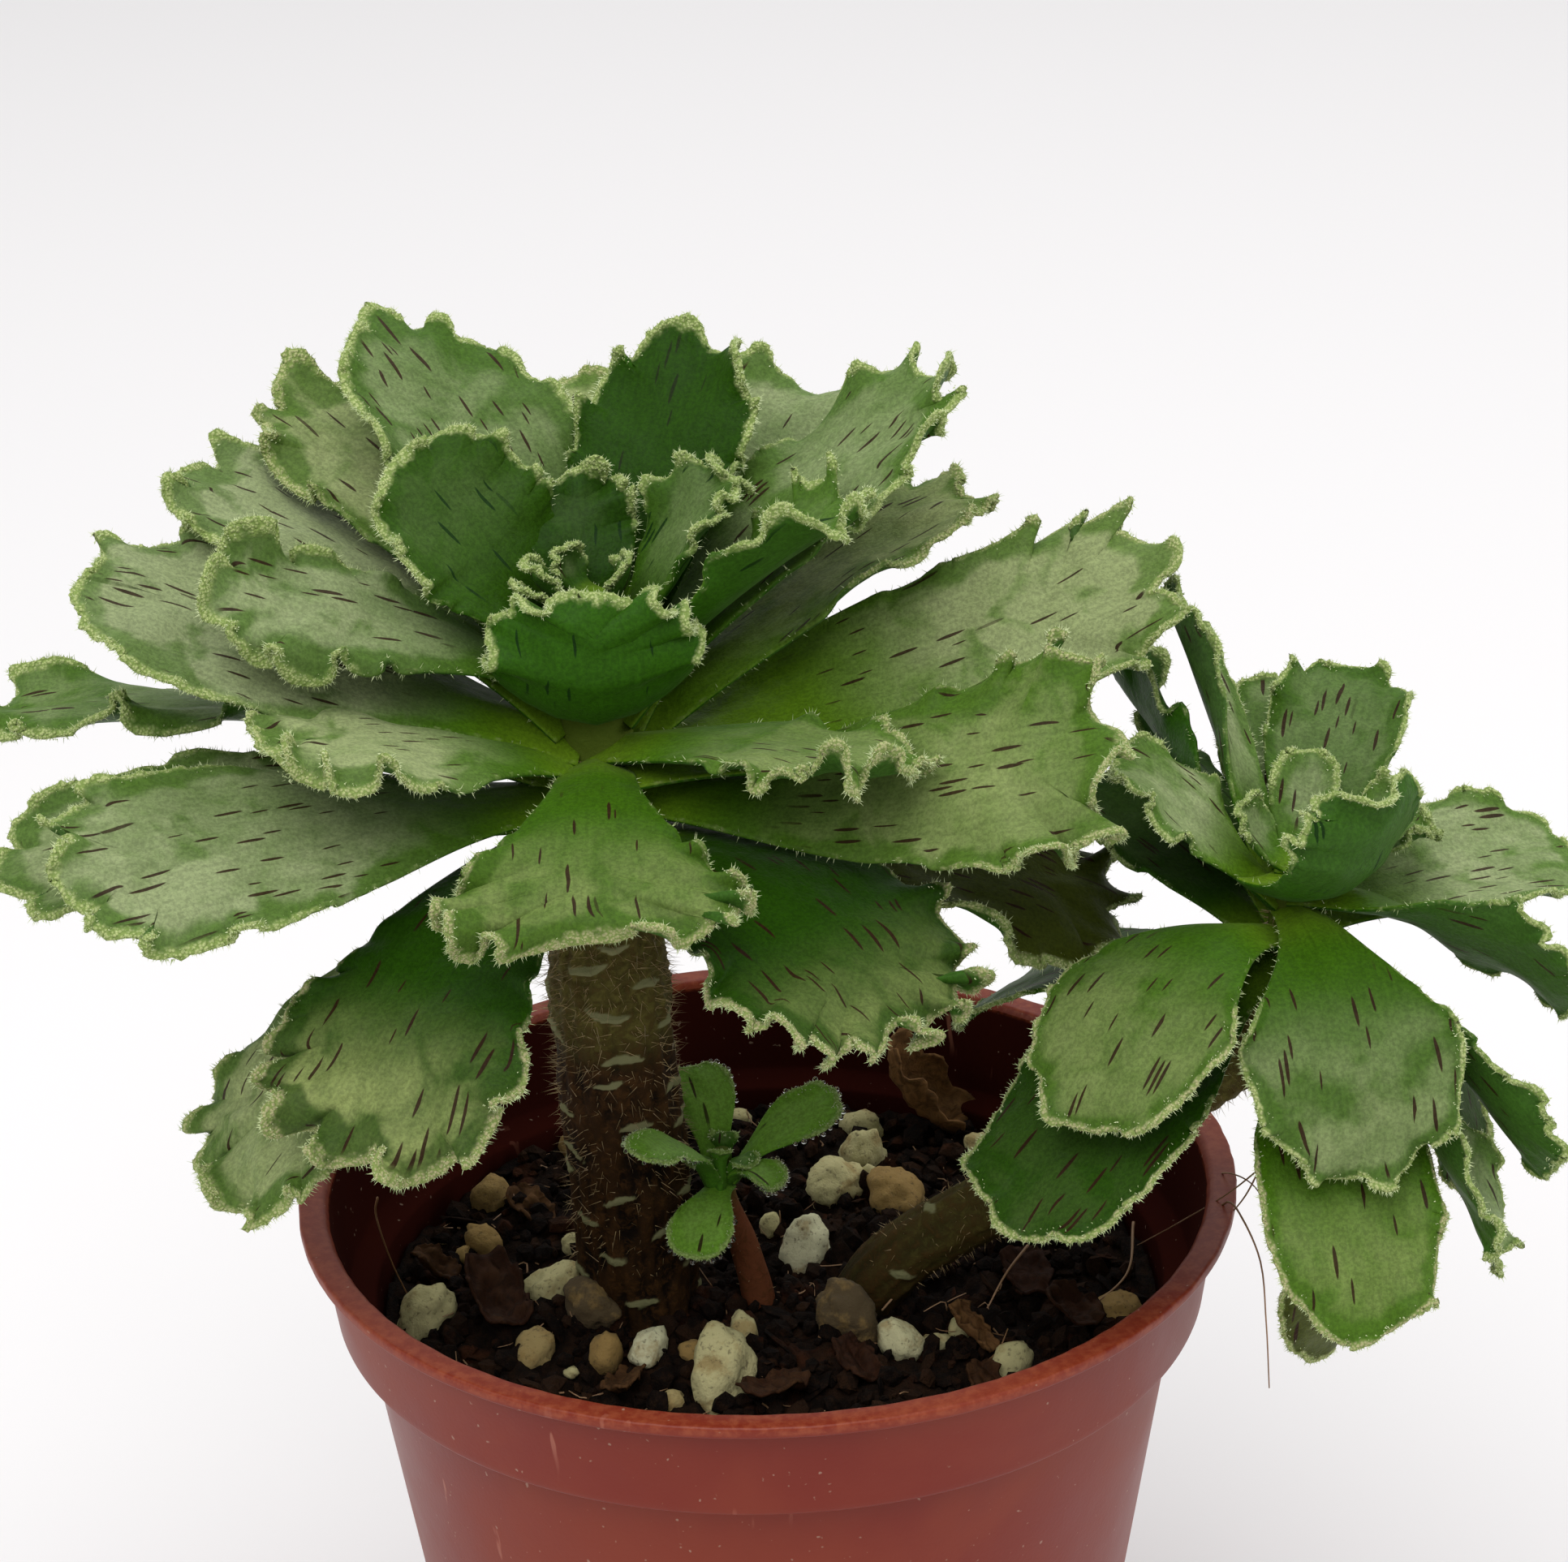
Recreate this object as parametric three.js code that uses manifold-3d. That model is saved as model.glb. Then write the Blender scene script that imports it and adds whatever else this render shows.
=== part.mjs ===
// A tree aeonium in a plastic nursery pot, in millimetres, +Z up.
// The origin is the centre of the pot's underside. +Y points away from the viewer.
import * as THREE from "three";
import { mergeVertices } from "three/addons/utils/BufferGeometryUtils.js";
import Module from "manifold-3d";

const wasm = await Module();
wasm.setup();

// Driving dimensions of the pot
const rimRadius = 45; // outside of the flat lip
const potHeight = 78;
const bandHeight = 11; // the wider collar under the lip
const potWall = 1.3;
const baseRadius = 29.5;
const bodyTopRadius = 39.5;
const bandFootRadius = 42;
const bandTopRadius = 43.4;
const lipThickness = 1.2;
const drainRadius = 3;
const drainCircle = 19;
const drainCount = 6;
const potSides = 48;

// Driving dimensions of the plant
const clearance = 0.3; // between pieces that touch
const soilLevel = potHeight - 13;
const soilRadius = bodyTopRadius - potWall - clearance - 0.4;
const leafFootThickness = 2.2;
const leafEdgeThickness = 0.8;
const leafNeck = 0.12; // half width of a leaf's foot, as a share of its width
const leafEdgeSegments = 36;

// Each rosette: the axis its leaves grow from, and how thick the stem is at the lowest and top ones
const tallCrown = { x: -14.6, y: -2.6, low: 114, high: 138, lowRadius: 4.8, highRadius: 2.2 };
const sideCrown = { x: 48.4, y: -11, low: 102, high: 114, lowRadius: 3.4, highRadius: 1.8 };
const pupCrown = { x: -4.3, y: -2, low: 77, high: 82, lowRadius: 1.3, highRadius: 0.8 };

// The leaves: foot is the height they grow at and tip is where they end. Arch lifts the middle of the
// midrib, turn tips the blade about it, cup lifts both edges and wave is how far the edge waves.
// Belly is how far along the leaf is widest, blunt shapes its end and point draws out the middle of it;
// calm names the side, seen from the foot, that hardly waves.
const tallLeaves = [
  {
    name: "back_left", foot: 133.3, tip: [-33.5, 24, 157], arch: 2, turn: 5,
    width: 21, cup: 1, wave: 2.2, point: 3, belly: 0.6, blunt: 1,
  },
  {
    name: "far_left", foot: 130.7, tip: [-43, 24, 150], arch: 2, turn: -8,
    width: 17, cup: 2, wave: 2.8, point: 2, blunt: 0.9,
  },
  { name: "back_middle", foot: 124, tip: [-13, 38, 146], arch: 2, width: 20, cup: 2, wave: 2.5 },
  {
    name: "back_dark", foot: 131.4, tip: [-5, 20, 156],
    width: 17, cup: 2, wave: 2.8, point: 2, blunt: 0.9, belly: 0.7,
  },
  { name: "back_right", foot: 127.5, tip: [6, 29, 149.5], turn: 12, width: 17, cup: 2, wave: 2.2 },
  { name: "right_high", foot: 129.6, tip: [18, 11, 155], turn: 5, width: 18, cup: 2, wave: 3 },
  { name: "right_behind", foot: 125.5, tip: [20, 18, 142], turn: -5, width: 17, cup: 1, wave: 2.5 },
  { name: "left_high", foot: 128.3, tip: [-52, 15, 146], arch: 2, turn: 6, width: 20, cup: 1, wave: 2.5 },
  {
    name: "left_broad", foot: 126, tip: [-60, -3, 143], arch: 0, turn: -16,
    width: 21, wave: 2.5, calm: "left",
  },
  { name: "left_curled", foot: 131.3, tip: [-48, -9, 143.5], turn: -25, width: 13, cup: 1, wave: 3.2 },
  { name: "inner_left", foot: 135.6, tip: [-31, 1, 152], arch: 0, width: 15, cup: 2, wave: 2, belly: 0.62 },
  { name: "inner_back", foot: 136.5, tip: [-16, 8, 147], width: 9, cup: 1, wave: 2.5, point: 1.5 },
  { name: "inner_right", foot: 136, tip: [-2, 2, 149.5], arch: 0, width: 11, cup: 2, wave: 2.2 },
  { name: "inner_cup", foot: 130, tip: [-14, -12, 143], arch: -3, width: 18, cup: 4, wave: 3 },
  { name: "right_upright", foot: 132, tip: [10, -6, 149], arch: 1, turn: -10, width: 13, cup: 3, wave: 3 },
  {
    name: "right_long", foot: 123.6, tip: [38, 9, 137], arch: -3, turn: 30,
    width: 19, cup: 1, wave: 3.8, belly: 0.84,
  },
  {
    name: "right_low", foot: 120.8, tip: [31, -18, 131], arch: -2, turn: 38,
    width: 22, wave: 3.5, belly: 0.8,
  },
  { name: "right_front", foot: 125.5, tip: [13, -21, 129.5], turn: -8, width: 18, cup: 1, wave: 3.2 },
  { name: "left_front", foot: 122.8, tip: [-42, -21, 131], turn: -4, width: 17, wave: 3, calm: "right" },
  { name: "left_low", foot: 120.5, tip: [-60, -27, 124], turn: -20, width: 21, wave: 2.5 },
  { name: "left_under", foot: 118.5, tip: [-67, -17, 120], arch: 2, turn: -15, width: 20, cup: 1, wave: 2.8 },
  { name: "left_edge_on", foot: 121.9, tip: [-72, 8, 125], arch: 3, turn: 15, width: 17, cup: 1, wave: 3.2 },
  { name: "front_fan", foot: 124, tip: [-14, -35, 121], arch: 3, width: 27, wave: 3.5, belly: 0.86 },
  { name: "front_left", foot: 116.5, tip: [-35, -34, 100], arch: 5, width: 25, wave: 3 },
  { name: "front_left_under", foot: 114, tip: [-49, -22, 90], arch: 4, width: 21, wave: 2.5 },
  { name: "front_right", foot: 117, tip: [13, -31, 109], arch: 4, width: 26, wave: 3 },
  { name: "right_olive", foot: 115.6, tip: [34, -2, 105], arch: 4, turn: 15, width: 19, wave: 2.5 },
  { name: "back_low_right", foot: 119, tip: [5, 26, 124], arch: 2, width: 19, cup: 1, wave: 2.5 },
  { name: "back_low", foot: 121, tip: [-24, 37, 126], arch: 2, width: 20, cup: 1, wave: 2.5 },
];
const sideLeaves = [
  { name: "folded_high", foot: 112.5, tip: [39, 13, 133], arch: 0, turn: 56, width: 9, cup: 2, wave: 1.8 },
  { name: "folded_dark", foot: 110.4, tip: [32, 18, 126], turn: 60, width: 11, cup: 3, wave: 3.5 },
  { name: "left_grey", foot: 113, tip: [33, -7, 124.5], arch: 0, width: 14, cup: 1, wave: 1.8, belly: 0.6 },
  { name: "left_shaded", foot: 107.2, tip: [32, 8, 115], width: 16, cup: 2, wave: 1.5, belly: 0.6 },
  { name: "left_behind", foot: 104.5, tip: [20, 8, 91], arch: 3, width: 15, wave: 1.2 },
  { name: "front_left", foot: 109, tip: [28, -30, 99], arch: 6, width: 19.4, wave: 1.5, belly: 0.6 },
  { name: "front_middle", foot: 111.1, tip: [53, -34, 95], arch: 5, width: 20, wave: 1.8, belly: 0.55 },
  { name: "low_left", foot: 106, tip: [22, -30, 89], arch: 2, width: 21, cup: 1, wave: 1.5, belly: 0.6 },
  { name: "low_middle", foot: 104, tip: [53, -40, 83], arch: 2, width: 16, wave: 1.2, belly: 0.65 },
  { name: "low_brown", foot: 102, tip: [52, -16, 67], arch: 5, width: 14, cup: -1, wave: 1.5 },
  {
    name: "right_edge_on", foot: 112.3, tip: [73, -20, 105], arch: 2, turn: -50,
    width: 14, cup: 1, wave: 2.2,
  },
  {
    name: "right_folded", foot: 108.5, tip: [70, -28, 92], arch: 1.5, turn: -50,
    width: 12, cup: 2, wave: 1.8,
  },
  { name: "right_hanging", foot: 106.5, tip: [66, -30, 84], turn: -40, width: 14, cup: 2, wave: 1.8 },
  { name: "right_under", foot: 105, tip: [66, -5, 77], arch: 6, width: 12, wave: 1.2 },
  { name: "upper_back", foot: 111, tip: [57, 14, 124], width: 13, cup: 1, wave: 2 },
  { name: "upper_behind", foot: 108.6, tip: [51, 18, 121], width: 13, cup: 1, wave: 1.2 },
  { name: "right_broad", foot: 109, tip: [76, 1, 110], turn: 10, width: 17, cup: 2, wave: 1.8, belly: 0.6 },
  { name: "inner_cup", foot: 113.7, tip: [55, -19, 126], arch: -3, width: 15, cup: 3, wave: 2.2 },
  { name: "inner_right", foot: 113.5, tip: [61, -6, 117.5], arch: 0, width: 10, cup: 2, wave: 2 },
];
const pupLeaves = [
  { name: "back", foot: 80, tip: [-7, 6, 87], width: 6, cup: 0.5, wave: 0.3 },
  { name: "right", foot: 80, tip: [7, 0, 86], turn: 20, width: 6, cup: 0.5, wave: 0.3 },
  { name: "left", foot: 79.5, tip: [-12, -15, 89], arch: 2, turn: -20, width: 5, wave: 0.3 },
  { name: "front", foot: 78.5, tip: [-7, -12, 76], width: 6, cup: 0.5, wave: 0.3 },
  { name: "small", foot: 80, tip: [1, -6, 80], width: 4, cup: 0.5, wave: 0.2 },
];

// The tiny leaves at the heart of a rosette, all growing from one bud
const tallHeart = [
  { foot: 139, tip: [-21, -4, 145], arch: -1, width: 7, cup: 1, wave: 1.6 },
  { foot: 140, tip: [-17, 1, 146], arch: -1, width: 6, cup: 1, wave: 1.4 },
  { foot: 139, tip: [-10, -3, 145], arch: -1, width: 6, cup: 1, wave: 1.6 },
  { foot: 139, tip: [-21, -8, 143], arch: -1, width: 5, cup: 1, wave: 1.2 },
];
const sideHeart = [
  { foot: 115, tip: [51, -1, 122], arch: -1, width: 6, cup: 1, wave: 1.2 },
  { foot: 115, tip: [44, -9, 121], arch: -1, width: 6, cup: 1, wave: 1.2 },
  { foot: 115, tip: [52, -15, 121], arch: -1, width: 5, cup: 1, wave: 1.2 },
];

const degrees = Math.PI / 180;
const lerp = THREE.MathUtils.lerp;
const ramp = THREE.MathUtils.smoothstep;
const palette = {
  plastic: "#a8452f",
  soil: "#33251c",
  bark: "#6f5537",
  pupStem: "#7a4430",
  leaf: "#6f9a58",
};

// Seeded random numbers, so that every build gives the same grains
function randomSource(seed) {
  let state = seed;
  return () => {
    state = (Math.imul(state, 1664525) + 1013904223) >>> 0;
    return state / 4294967296;
  };
}

function toSolid(geometry) {
  const bare = new THREE.BufferGeometry();
  bare.setAttribute("position", geometry.getAttribute("position"));
  if (geometry.index) bare.setIndex(geometry.index);
  const merged = mergeVertices(bare, 1e-4);
  return new wasm.Manifold(
    new wasm.Mesh({
      numProp: 3,
      vertProperties: new Float32Array(merged.attributes.position.array),
      triVerts: new Uint32Array(merged.index.array),
    }),
  );
}

function toGeometry(solid) {
  const mesh = solid.getMesh();
  const geometry = new THREE.BufferGeometry();
  geometry.setAttribute("position", new THREE.BufferAttribute(mesh.vertProperties, 3));
  geometry.setIndex(new THREE.BufferAttribute(mesh.triVerts, 1));
  return geometry;
}

function meshedGeometry(position, index) {
  const geometry = new THREE.BufferGeometry();
  geometry.setAttribute("position", new THREE.Float32BufferAttribute(position, 3));
  geometry.setIndex(index);
  return geometry;
}

// A closed solid from an open sheet of points and triangles, thick to both sides of it
function thickenSheet(points, faces, thicknessOf) {
  const count = points.length;
  const normals = points.map(() => new THREE.Vector3());
  const rims = new Map();
  for (const [a, b, c] of faces) {
    const normal = points[b].clone().sub(points[a]).cross(points[c].clone().sub(points[a]));
    for (const i of [a, b, c]) normals[i].add(normal);
    for (const [from, to] of [[a, b], [b, c], [c, a]]) {
      if (rims.has(to + "_" + from)) rims.delete(to + "_" + from);
      else rims.set(from + "_" + to, [from, to]);
    }
  }
  const position = [];
  for (const side of [1, -1]) {
    points.forEach((p, i) => {
      const half = (side * thicknessOf(i)) / 2;
      const moved = p.clone().addScaledVector(normals[i].clone().normalize(), half);
      position.push(moved.x, moved.y, moved.z);
    });
  }
  const index = [];
  for (const [a, b, c] of faces) index.push(a, b, c, a + count, c + count, b + count);
  for (const [a, b] of rims.values()) index.push(b, a, a + count, b, a + count, b + count);
  return meshedGeometry(position, index);
}

// The outline of a spoon-shaped leaf for a share t of the way round it, from one corner of the foot
// over the tip to the other: x across and y along, as shares of its width and length
function leafOutline(leaf, t) {
  const side = t < 0.5 ? -1 : 1;
  const climb = 1 - Math.abs(2 * t - 1);
  const neck = leaf.neck ?? leafNeck;
  if (climb < 0.6) return [side * lerp(neck, 0.5, ramp(climb / 0.6, 0.05, 1.02)), (leaf.belly * climb) / 0.6];
  const turn = ((climb - 0.6) / 0.4) * 90 * degrees;
  const x = 0.5 * Math.pow(Math.max(0, Math.cos(turn)), leaf.blunt);
  return [side * x, leaf.belly + (1 - leaf.belly) * Math.pow(Math.sin(turn), 0.8)];
}

// How far the blade waves at a share t round the outline and a share out from the midrib
function waveAt(leaf, t, out) {
  const grown = ramp(Math.min(t, 1 - t), 0.1, 0.28) * (leaf.calm === (t < 0.5 ? "left" : "right") ? 0.3 : 1);
  const phase = leaf.waves * 360 * degrees * t + leaf.seed * 1.7 + 0.9 * Math.sin(11 * t + leaf.seed);
  const slow = 0.5 * Math.sin(15 * t + leaf.seed * 3.1) * out ** 2;
  const quick = (0.75 + 0.25 * Math.sin(7 * t + leaf.seed * 2)) * Math.sin(phase) * out ** 4;
  return leaf.wave * grown * (slow + quick);
}

// How far a share t of the outline is drawn in or pushed out, which scallops it
function scallopAt(leaf, t) {
  const phase = leaf.waves * 360 * degrees * t + leaf.seed * 3.4 + 0.9 * Math.sin(11 * t + leaf.seed);
  const grown = ramp(Math.min(t, 1 - t), 0.1, 0.28);
  const middle = ((leaf.point ?? 0) / 40) * Math.exp(-(((t - 0.5) / 0.03) ** 2));
  return 1 + grown * 0.01 * Math.sin(phase) * leaf.wave + middle;
}

// Where the leaf's foot, the top of its arch and its tip are. The foot is set as far from the axis as
// keeps a steep or turned blade just clear of the stem.
function midribOf(leaf, crown) {
  const share = (leaf.foot - crown.low) / (crown.high - crown.low);
  const radius = lerp(crown.lowRadius, crown.highRadius, THREE.MathUtils.clamp(share, 0, 1));
  const tip = new THREE.Vector3(...leaf.tip);
  const axis = new THREE.Vector3(crown.x, crown.y, leaf.foot);
  const outward = new THREE.Vector3(tip.x - axis.x, tip.y - axis.y, 0).normalize();
  const left = new THREE.Vector3(-outward.y, outward.x, 0);
  const lift = tip.clone().sub(axis).normalize().cross(left);
  const rise = tip.clone().sub(axis).multiplyScalar(0.45).addScaledVector(lift, leaf.arch * 2).normalize();
  const slant = leaf.thickness * 0.58 * Math.abs(rise.z) + Math.abs(leaf.turn) * 0.0045;
  const foot = axis.clone().addScaledVector(outward, radius + clearance + slant);
  const middle = foot.clone().lerp(tip, 0.45).addScaledVector(lift, leaf.arch * 2);
  return { foot, middle, tip, left };
}

// A point of the blade, from shares across and along it and a lift off its surface
function bladePoint(leaf, rib, x, y, lift) {
  const place = rib.foot.clone().multiplyScalar((1 - y) ** 2);
  place.addScaledVector(rib.middle, 2 * y * (1 - y)).addScaledVector(rib.tip, y ** 2);
  const along = rib.middle.clone().sub(rib.foot).multiplyScalar(1 - y);
  along.addScaledVector(rib.tip.clone().sub(rib.middle), y).normalize();
  const turn = leaf.turn * degrees * ramp(y, 0, 0.6);
  const across = rib.left.clone().applyAxisAngle(along, turn);
  const up = along.clone().cross(across);
  return place
    .addScaledVector(across, -x * leaf.width)
    .addScaledVector(up, lift + leaf.cup * (2 * x) ** 2);
}

// One leaf as a closed solid: a midrib, an inner ring and the waved edge
function leafGeometry(leaf, crown) {
  const rib = midribOf(leaf, crown);
  const points = [];
  const shares = [];
  const half = leaf.segments / 2;
  const quarter = half / 2;
  const spineAt = (t) => leafOutline(leaf, t)[1] * 0.84;
  for (let i = 0; i <= quarter; i++) {
    points.push(bladePoint(leaf, rib, 0, spineAt(i / half), 0));
    shares.push(0);
  }
  for (const [count, out] of [[half, 0.62], [leaf.segments, 1]]) {
    for (let i = 0; i <= count; i++) {
      const t = i / count;
      const [x, y] = leafOutline(leaf, t);
      const reach = lerp(1, scallopAt(leaf, t), out);
      const along = lerp(spineAt(t), y * reach, out);
      points.push(bladePoint(leaf, rib, x * out * reach, along, waveAt(leaf, t, out)));
      shares.push(out);
    }
  }
  const faces = [];
  const innerStart = quarter + 1;
  const edgeStart = innerStart + half + 1;
  for (let i = 0; i < half; i++) {
    const here = Math.min(i, half - i);
    const next = Math.min(i + 1, half - i - 1);
    const inner = innerStart + i;
    const edge = edgeStart + 2 * i;
    faces.push([here, inner, inner + 1], [here, inner + 1, next]);
    faces.push([inner, edge, edge + 1], [inner, edge + 1, inner + 1], [inner + 1, edge + 1, edge + 2]);
  }
  return thickenSheet(points, faces, (i) => lerp(leaf.thickness, leafEdgeThickness, shares[i] ** 1.5));
}

// A stem along a curve, with its radius given for each share of the way up
function stemGeometry(curve, sides, rings, radiusAt) {
  const frames = curve.computeFrenetFrames(rings, false);
  const position = [];
  for (let i = 0; i <= rings; i++) {
    const centre = curve.getPoint(i / rings);
    for (let j = 0; j < sides; j++) {
      const turn = ((j + (i % 2) * 0.5) / sides) * 360 * degrees;
      const radius = radiusAt(i / rings, turn);
      const p = centre.clone().addScaledVector(frames.normals[i], Math.cos(turn) * radius);
      p.addScaledVector(frames.binormals[i], Math.sin(turn) * radius);
      position.push(p.x, p.y, p.z);
    }
  }
  const bottom = (rings + 1) * sides;
  position.push(...curve.getPoint(0).toArray(), ...curve.getPoint(1).toArray());
  const index = [];
  for (let j = 0; j < sides; j++) {
    const next = (j + 1) % sides;
    for (let i = 0; i < rings; i++) {
      const a = i * sides + j;
      const b = i * sides + next;
      if (i % 2 === 0) index.push(a, b, a + sides, b, b + sides, a + sides);
      else index.push(a, b, b + sides, a, b + sides, a + sides);
    }
    index.push(bottom, next, j, bottom + 1, rings * sides + j, rings * sides + next);
  }
  return meshedGeometry(position, index);
}

// The middle line of a stem: through the points given and up a rosette's axis
function curveInto(crown, ...points) {
  const all = [...points, [crown.x, crown.y, crown.low], [crown.x, crown.y, crown.high]];
  return new THREE.CatmullRomCurve3(all.map((p) => new THREE.Vector3(...p)), false, "centripetal");
}

// The pot: a thin wall with a collar, a flat lip and drain holes
function potGeometry() {
  const bandFoot = potHeight - bandHeight;
  const profile = [
    [0, 0],
    [baseRadius - 1, 0],
    [baseRadius, 1],
    [bodyTopRadius, bandFoot - 0.8],
    [bandFootRadius, bandFoot],
    [bandTopRadius, potHeight - lipThickness],
    [rimRadius, potHeight - lipThickness],
    [rimRadius, potHeight],
    [bandTopRadius - potWall * 0.6, potHeight],
    [bandTopRadius - potWall, potHeight - 0.8],
    [bandFootRadius - potWall, bandFoot + 0.9],
    [bodyTopRadius - potWall, bandFoot],
    [baseRadius - potWall, potWall + 0.7],
    [baseRadius - potWall - 1, potWall],
    [0, potWall],
  ];
  const lathe = new THREE.LatheGeometry(profile.map((p) => new THREE.Vector2(...p)), potSides);
  lathe.rotateX(90 * degrees);
  let solid = toSolid(lathe);
  for (let i = 0; i < drainCount; i++) {
    const turn = ((i + 0.5) / drainCount) * 360 * degrees;
    const hole = new THREE.CylinderGeometry(drainRadius, drainRadius, 6, 10);
    hole.rotateX(90 * degrees);
    hole.translate(Math.cos(turn) * drainCircle, Math.sin(turn) * drainCircle, 0.5);
    solid = solid.subtract(toSolid(hole));
  }
  return toGeometry(solid);
}

// The soil: a lumpy plug with pumice grains and bark chips set in it and a hole for each stem
function soilGeometry(stemCurves) {
  const random = randomSource(7);
  const sectors = 26;
  const rings = 6;
  const floorHeight = potWall + clearance;
  const position = [0, 0, soilLevel + 0.5];
  for (let i = 1; i <= rings; i++) {
    for (let j = 0; j < sectors; j++) {
      const turn = (j / sectors) * 360 * degrees;
      const radius = (soilRadius * i) / rings;
      const lump = i === rings ? 0 : 1.6 * (random() - 0.45);
      position.push(Math.cos(turn) * radius, Math.sin(turn) * radius, soilLevel + lump);
    }
  }
  const footRadius = baseRadius - potWall - clearance - 0.9;
  for (let j = 0; j < sectors; j++) {
    const turn = (j / sectors) * 360 * degrees;
    position.push(Math.cos(turn) * footRadius, Math.sin(turn) * footRadius, floorHeight);
  }
  const foot = 1 + (rings + 1) * sectors;
  position.push(0, 0, floorHeight);
  const index = [];
  for (let j = 0; j < sectors; j++) {
    const next = (j + 1) % sectors;
    index.push(0, 1 + j, 1 + next);
    for (let i = 0; i < rings; i++) {
      const a = 1 + i * sectors;
      index.push(a + j, a + sectors + j, a + sectors + next, a + j, a + sectors + next, a + next);
    }
    index.push(foot, 1 + rings * sectors + next, 1 + rings * sectors + j);
  }
  let solid = toSolid(meshedGeometry(position, index));
  for (let i = 0; i < 24; i++) {
    const turn = random() * 360 * degrees;
    const radius = (soilRadius - 4) * Math.sqrt(random());
    const size = 1.6 + 1.3 * random();
    const grain = new THREE.IcosahedronGeometry(size, 0);
    grain.scale(1.2, 0.9, 0.8);
    grain.rotateZ(random() * 3);
    grain.translate(Math.cos(turn) * radius, Math.sin(turn) * radius, soilLevel + size * 0.35);
    solid = solid.add(toSolid(grain));
  }
  for (const [curve, radius] of stemCurves) {
    const hole = stemGeometry(curve, 12, 10, () => radius + clearance + 0.3);
    hole.translate(0, 0, -clearance);
    solid = solid.subtract(toSolid(hole));
  }
  return toGeometry(largestBody(solid));
}

function largestBody(solid) {
  return solid.decompose().reduce((a, b) => (a.volume() > b.volume() ? a : b));
}

const part = new THREE.Group();
part.name = "potted_aeonium";

function addPiece(name, geometry, color, roughness) {
  const material = new THREE.MeshStandardMaterial({ color, roughness, metalness: 0 });
  const mesh = new THREE.Mesh(geometry, material);
  mesh.name = name;
  part.add(mesh);
}

const mainCurve = curveInto(tallCrown, [-12.4, -2.6, 42], [-12.8, -2.6, 72], [-14.2, -2.6, 96]);
const sideCurve = curveInto(sideCrown, [6, -1, 46], [9.5, -2, 66], [24, -5, 79], [39, -9, 91]);
const pupCurve = curveInto(pupCrown, [-1, -2, 50], [-1, -2, 64], [-2.6, -2, 72]);

// Radius of a stem by its height: thick from the soil up, thinner where the leaves grow
function stemRadiusBy(curve, crown, thick, knobs) {
  return (share, turn) => {
    const height = curve.getPoint(share).z;
    const toCrown = ramp(height, crown.low - 16, crown.low);
    const inCrown = THREE.MathUtils.clamp((height - crown.low) / (crown.high - crown.low), 0, 1);
    const knobbly = 1 + knobs * Math.sin(height * 1.3) * Math.sin(3 * turn);
    const bare = lerp(thick, crown.lowRadius, toCrown) * knobbly;
    return height < crown.low ? bare : lerp(crown.lowRadius, crown.highRadius, inCrown);
  };
}

addPiece("pot", potGeometry(), palette.plastic, 0.45);
addPiece("soil", soilGeometry([[mainCurve, 6], [sideCurve, 3.6], [pupCurve, 1.6]]), palette.soil, 0.95);
const mainStem = stemGeometry(mainCurve, 12, 22, stemRadiusBy(mainCurve, tallCrown, 5.7, 0.03));
const sideStem = stemGeometry(sideCurve, 10, 20, stemRadiusBy(sideCurve, sideCrown, 3.3, 0.03));
const pupStem = stemGeometry(pupCurve, 8, 12, stemRadiusBy(pupCurve, pupCrown, 1.4, 0));
addPiece("main_stem", mainStem, palette.bark, 0.9);
addPiece("side_stem", sideStem, palette.bark, 0.9);
addPiece("pup_stem", pupStem, palette.pupStem, 0.7);

// A leaf with everything its row leaves out
function fullLeaf(leaf, i, usual) {
  const waves = Math.round(4 + leaf.width * 0.15);
  return { waves, seed: i + 1, belly: 0.72, blunt: 0.7, arch: 1, turn: 0, cup: 0, ...usual, ...leaf };
}

function addLeaves(prefix, leaves, crown, usual) {
  leaves.forEach((leaf, i) => {
    addPiece(prefix + leaf.name, leafGeometry(fullLeaf(leaf, i, usual), crown), palette.leaf, 0.6);
  });
}

// The heart: a small bud just above the stem with its tiny leaves fused to it
function heartGeometry(leaves, crown) {
  const bud = new THREE.IcosahedronGeometry(1.9, 0);
  bud.translate(crown.x, crown.y, crown.high + clearance + 1.9);
  let solid = toSolid(bud);
  const axis = { x: crown.x, y: crown.y, low: crown.high, high: crown.high + 9, lowRadius: 0, highRadius: 0 };
  leaves.forEach((leaf, i) => {
    const full = fullLeaf(leaf, i, { thickness: 1.2, segments: 16 });
    solid = solid.add(toSolid(leafGeometry(full, axis)));
  });
  return toGeometry(largestBody(solid));
}

addLeaves("tall_leaf_", tallLeaves, tallCrown, { thickness: leafFootThickness, segments: leafEdgeSegments });
addPiece("tall_heart", heartGeometry(tallHeart, tallCrown), palette.leaf, 0.6);
addLeaves("side_leaf_", sideLeaves, sideCrown, { thickness: 1.8, segments: 28 });
addPiece("side_heart", heartGeometry(sideHeart, sideCrown), palette.leaf, 0.6);
addLeaves("pup_leaf_", pupLeaves, pupCrown, { thickness: 1, segments: 16 });

export default part;
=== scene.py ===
import math

import bpy
import numpy as np
from mathutils import Matrix, Vector, noise


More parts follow.
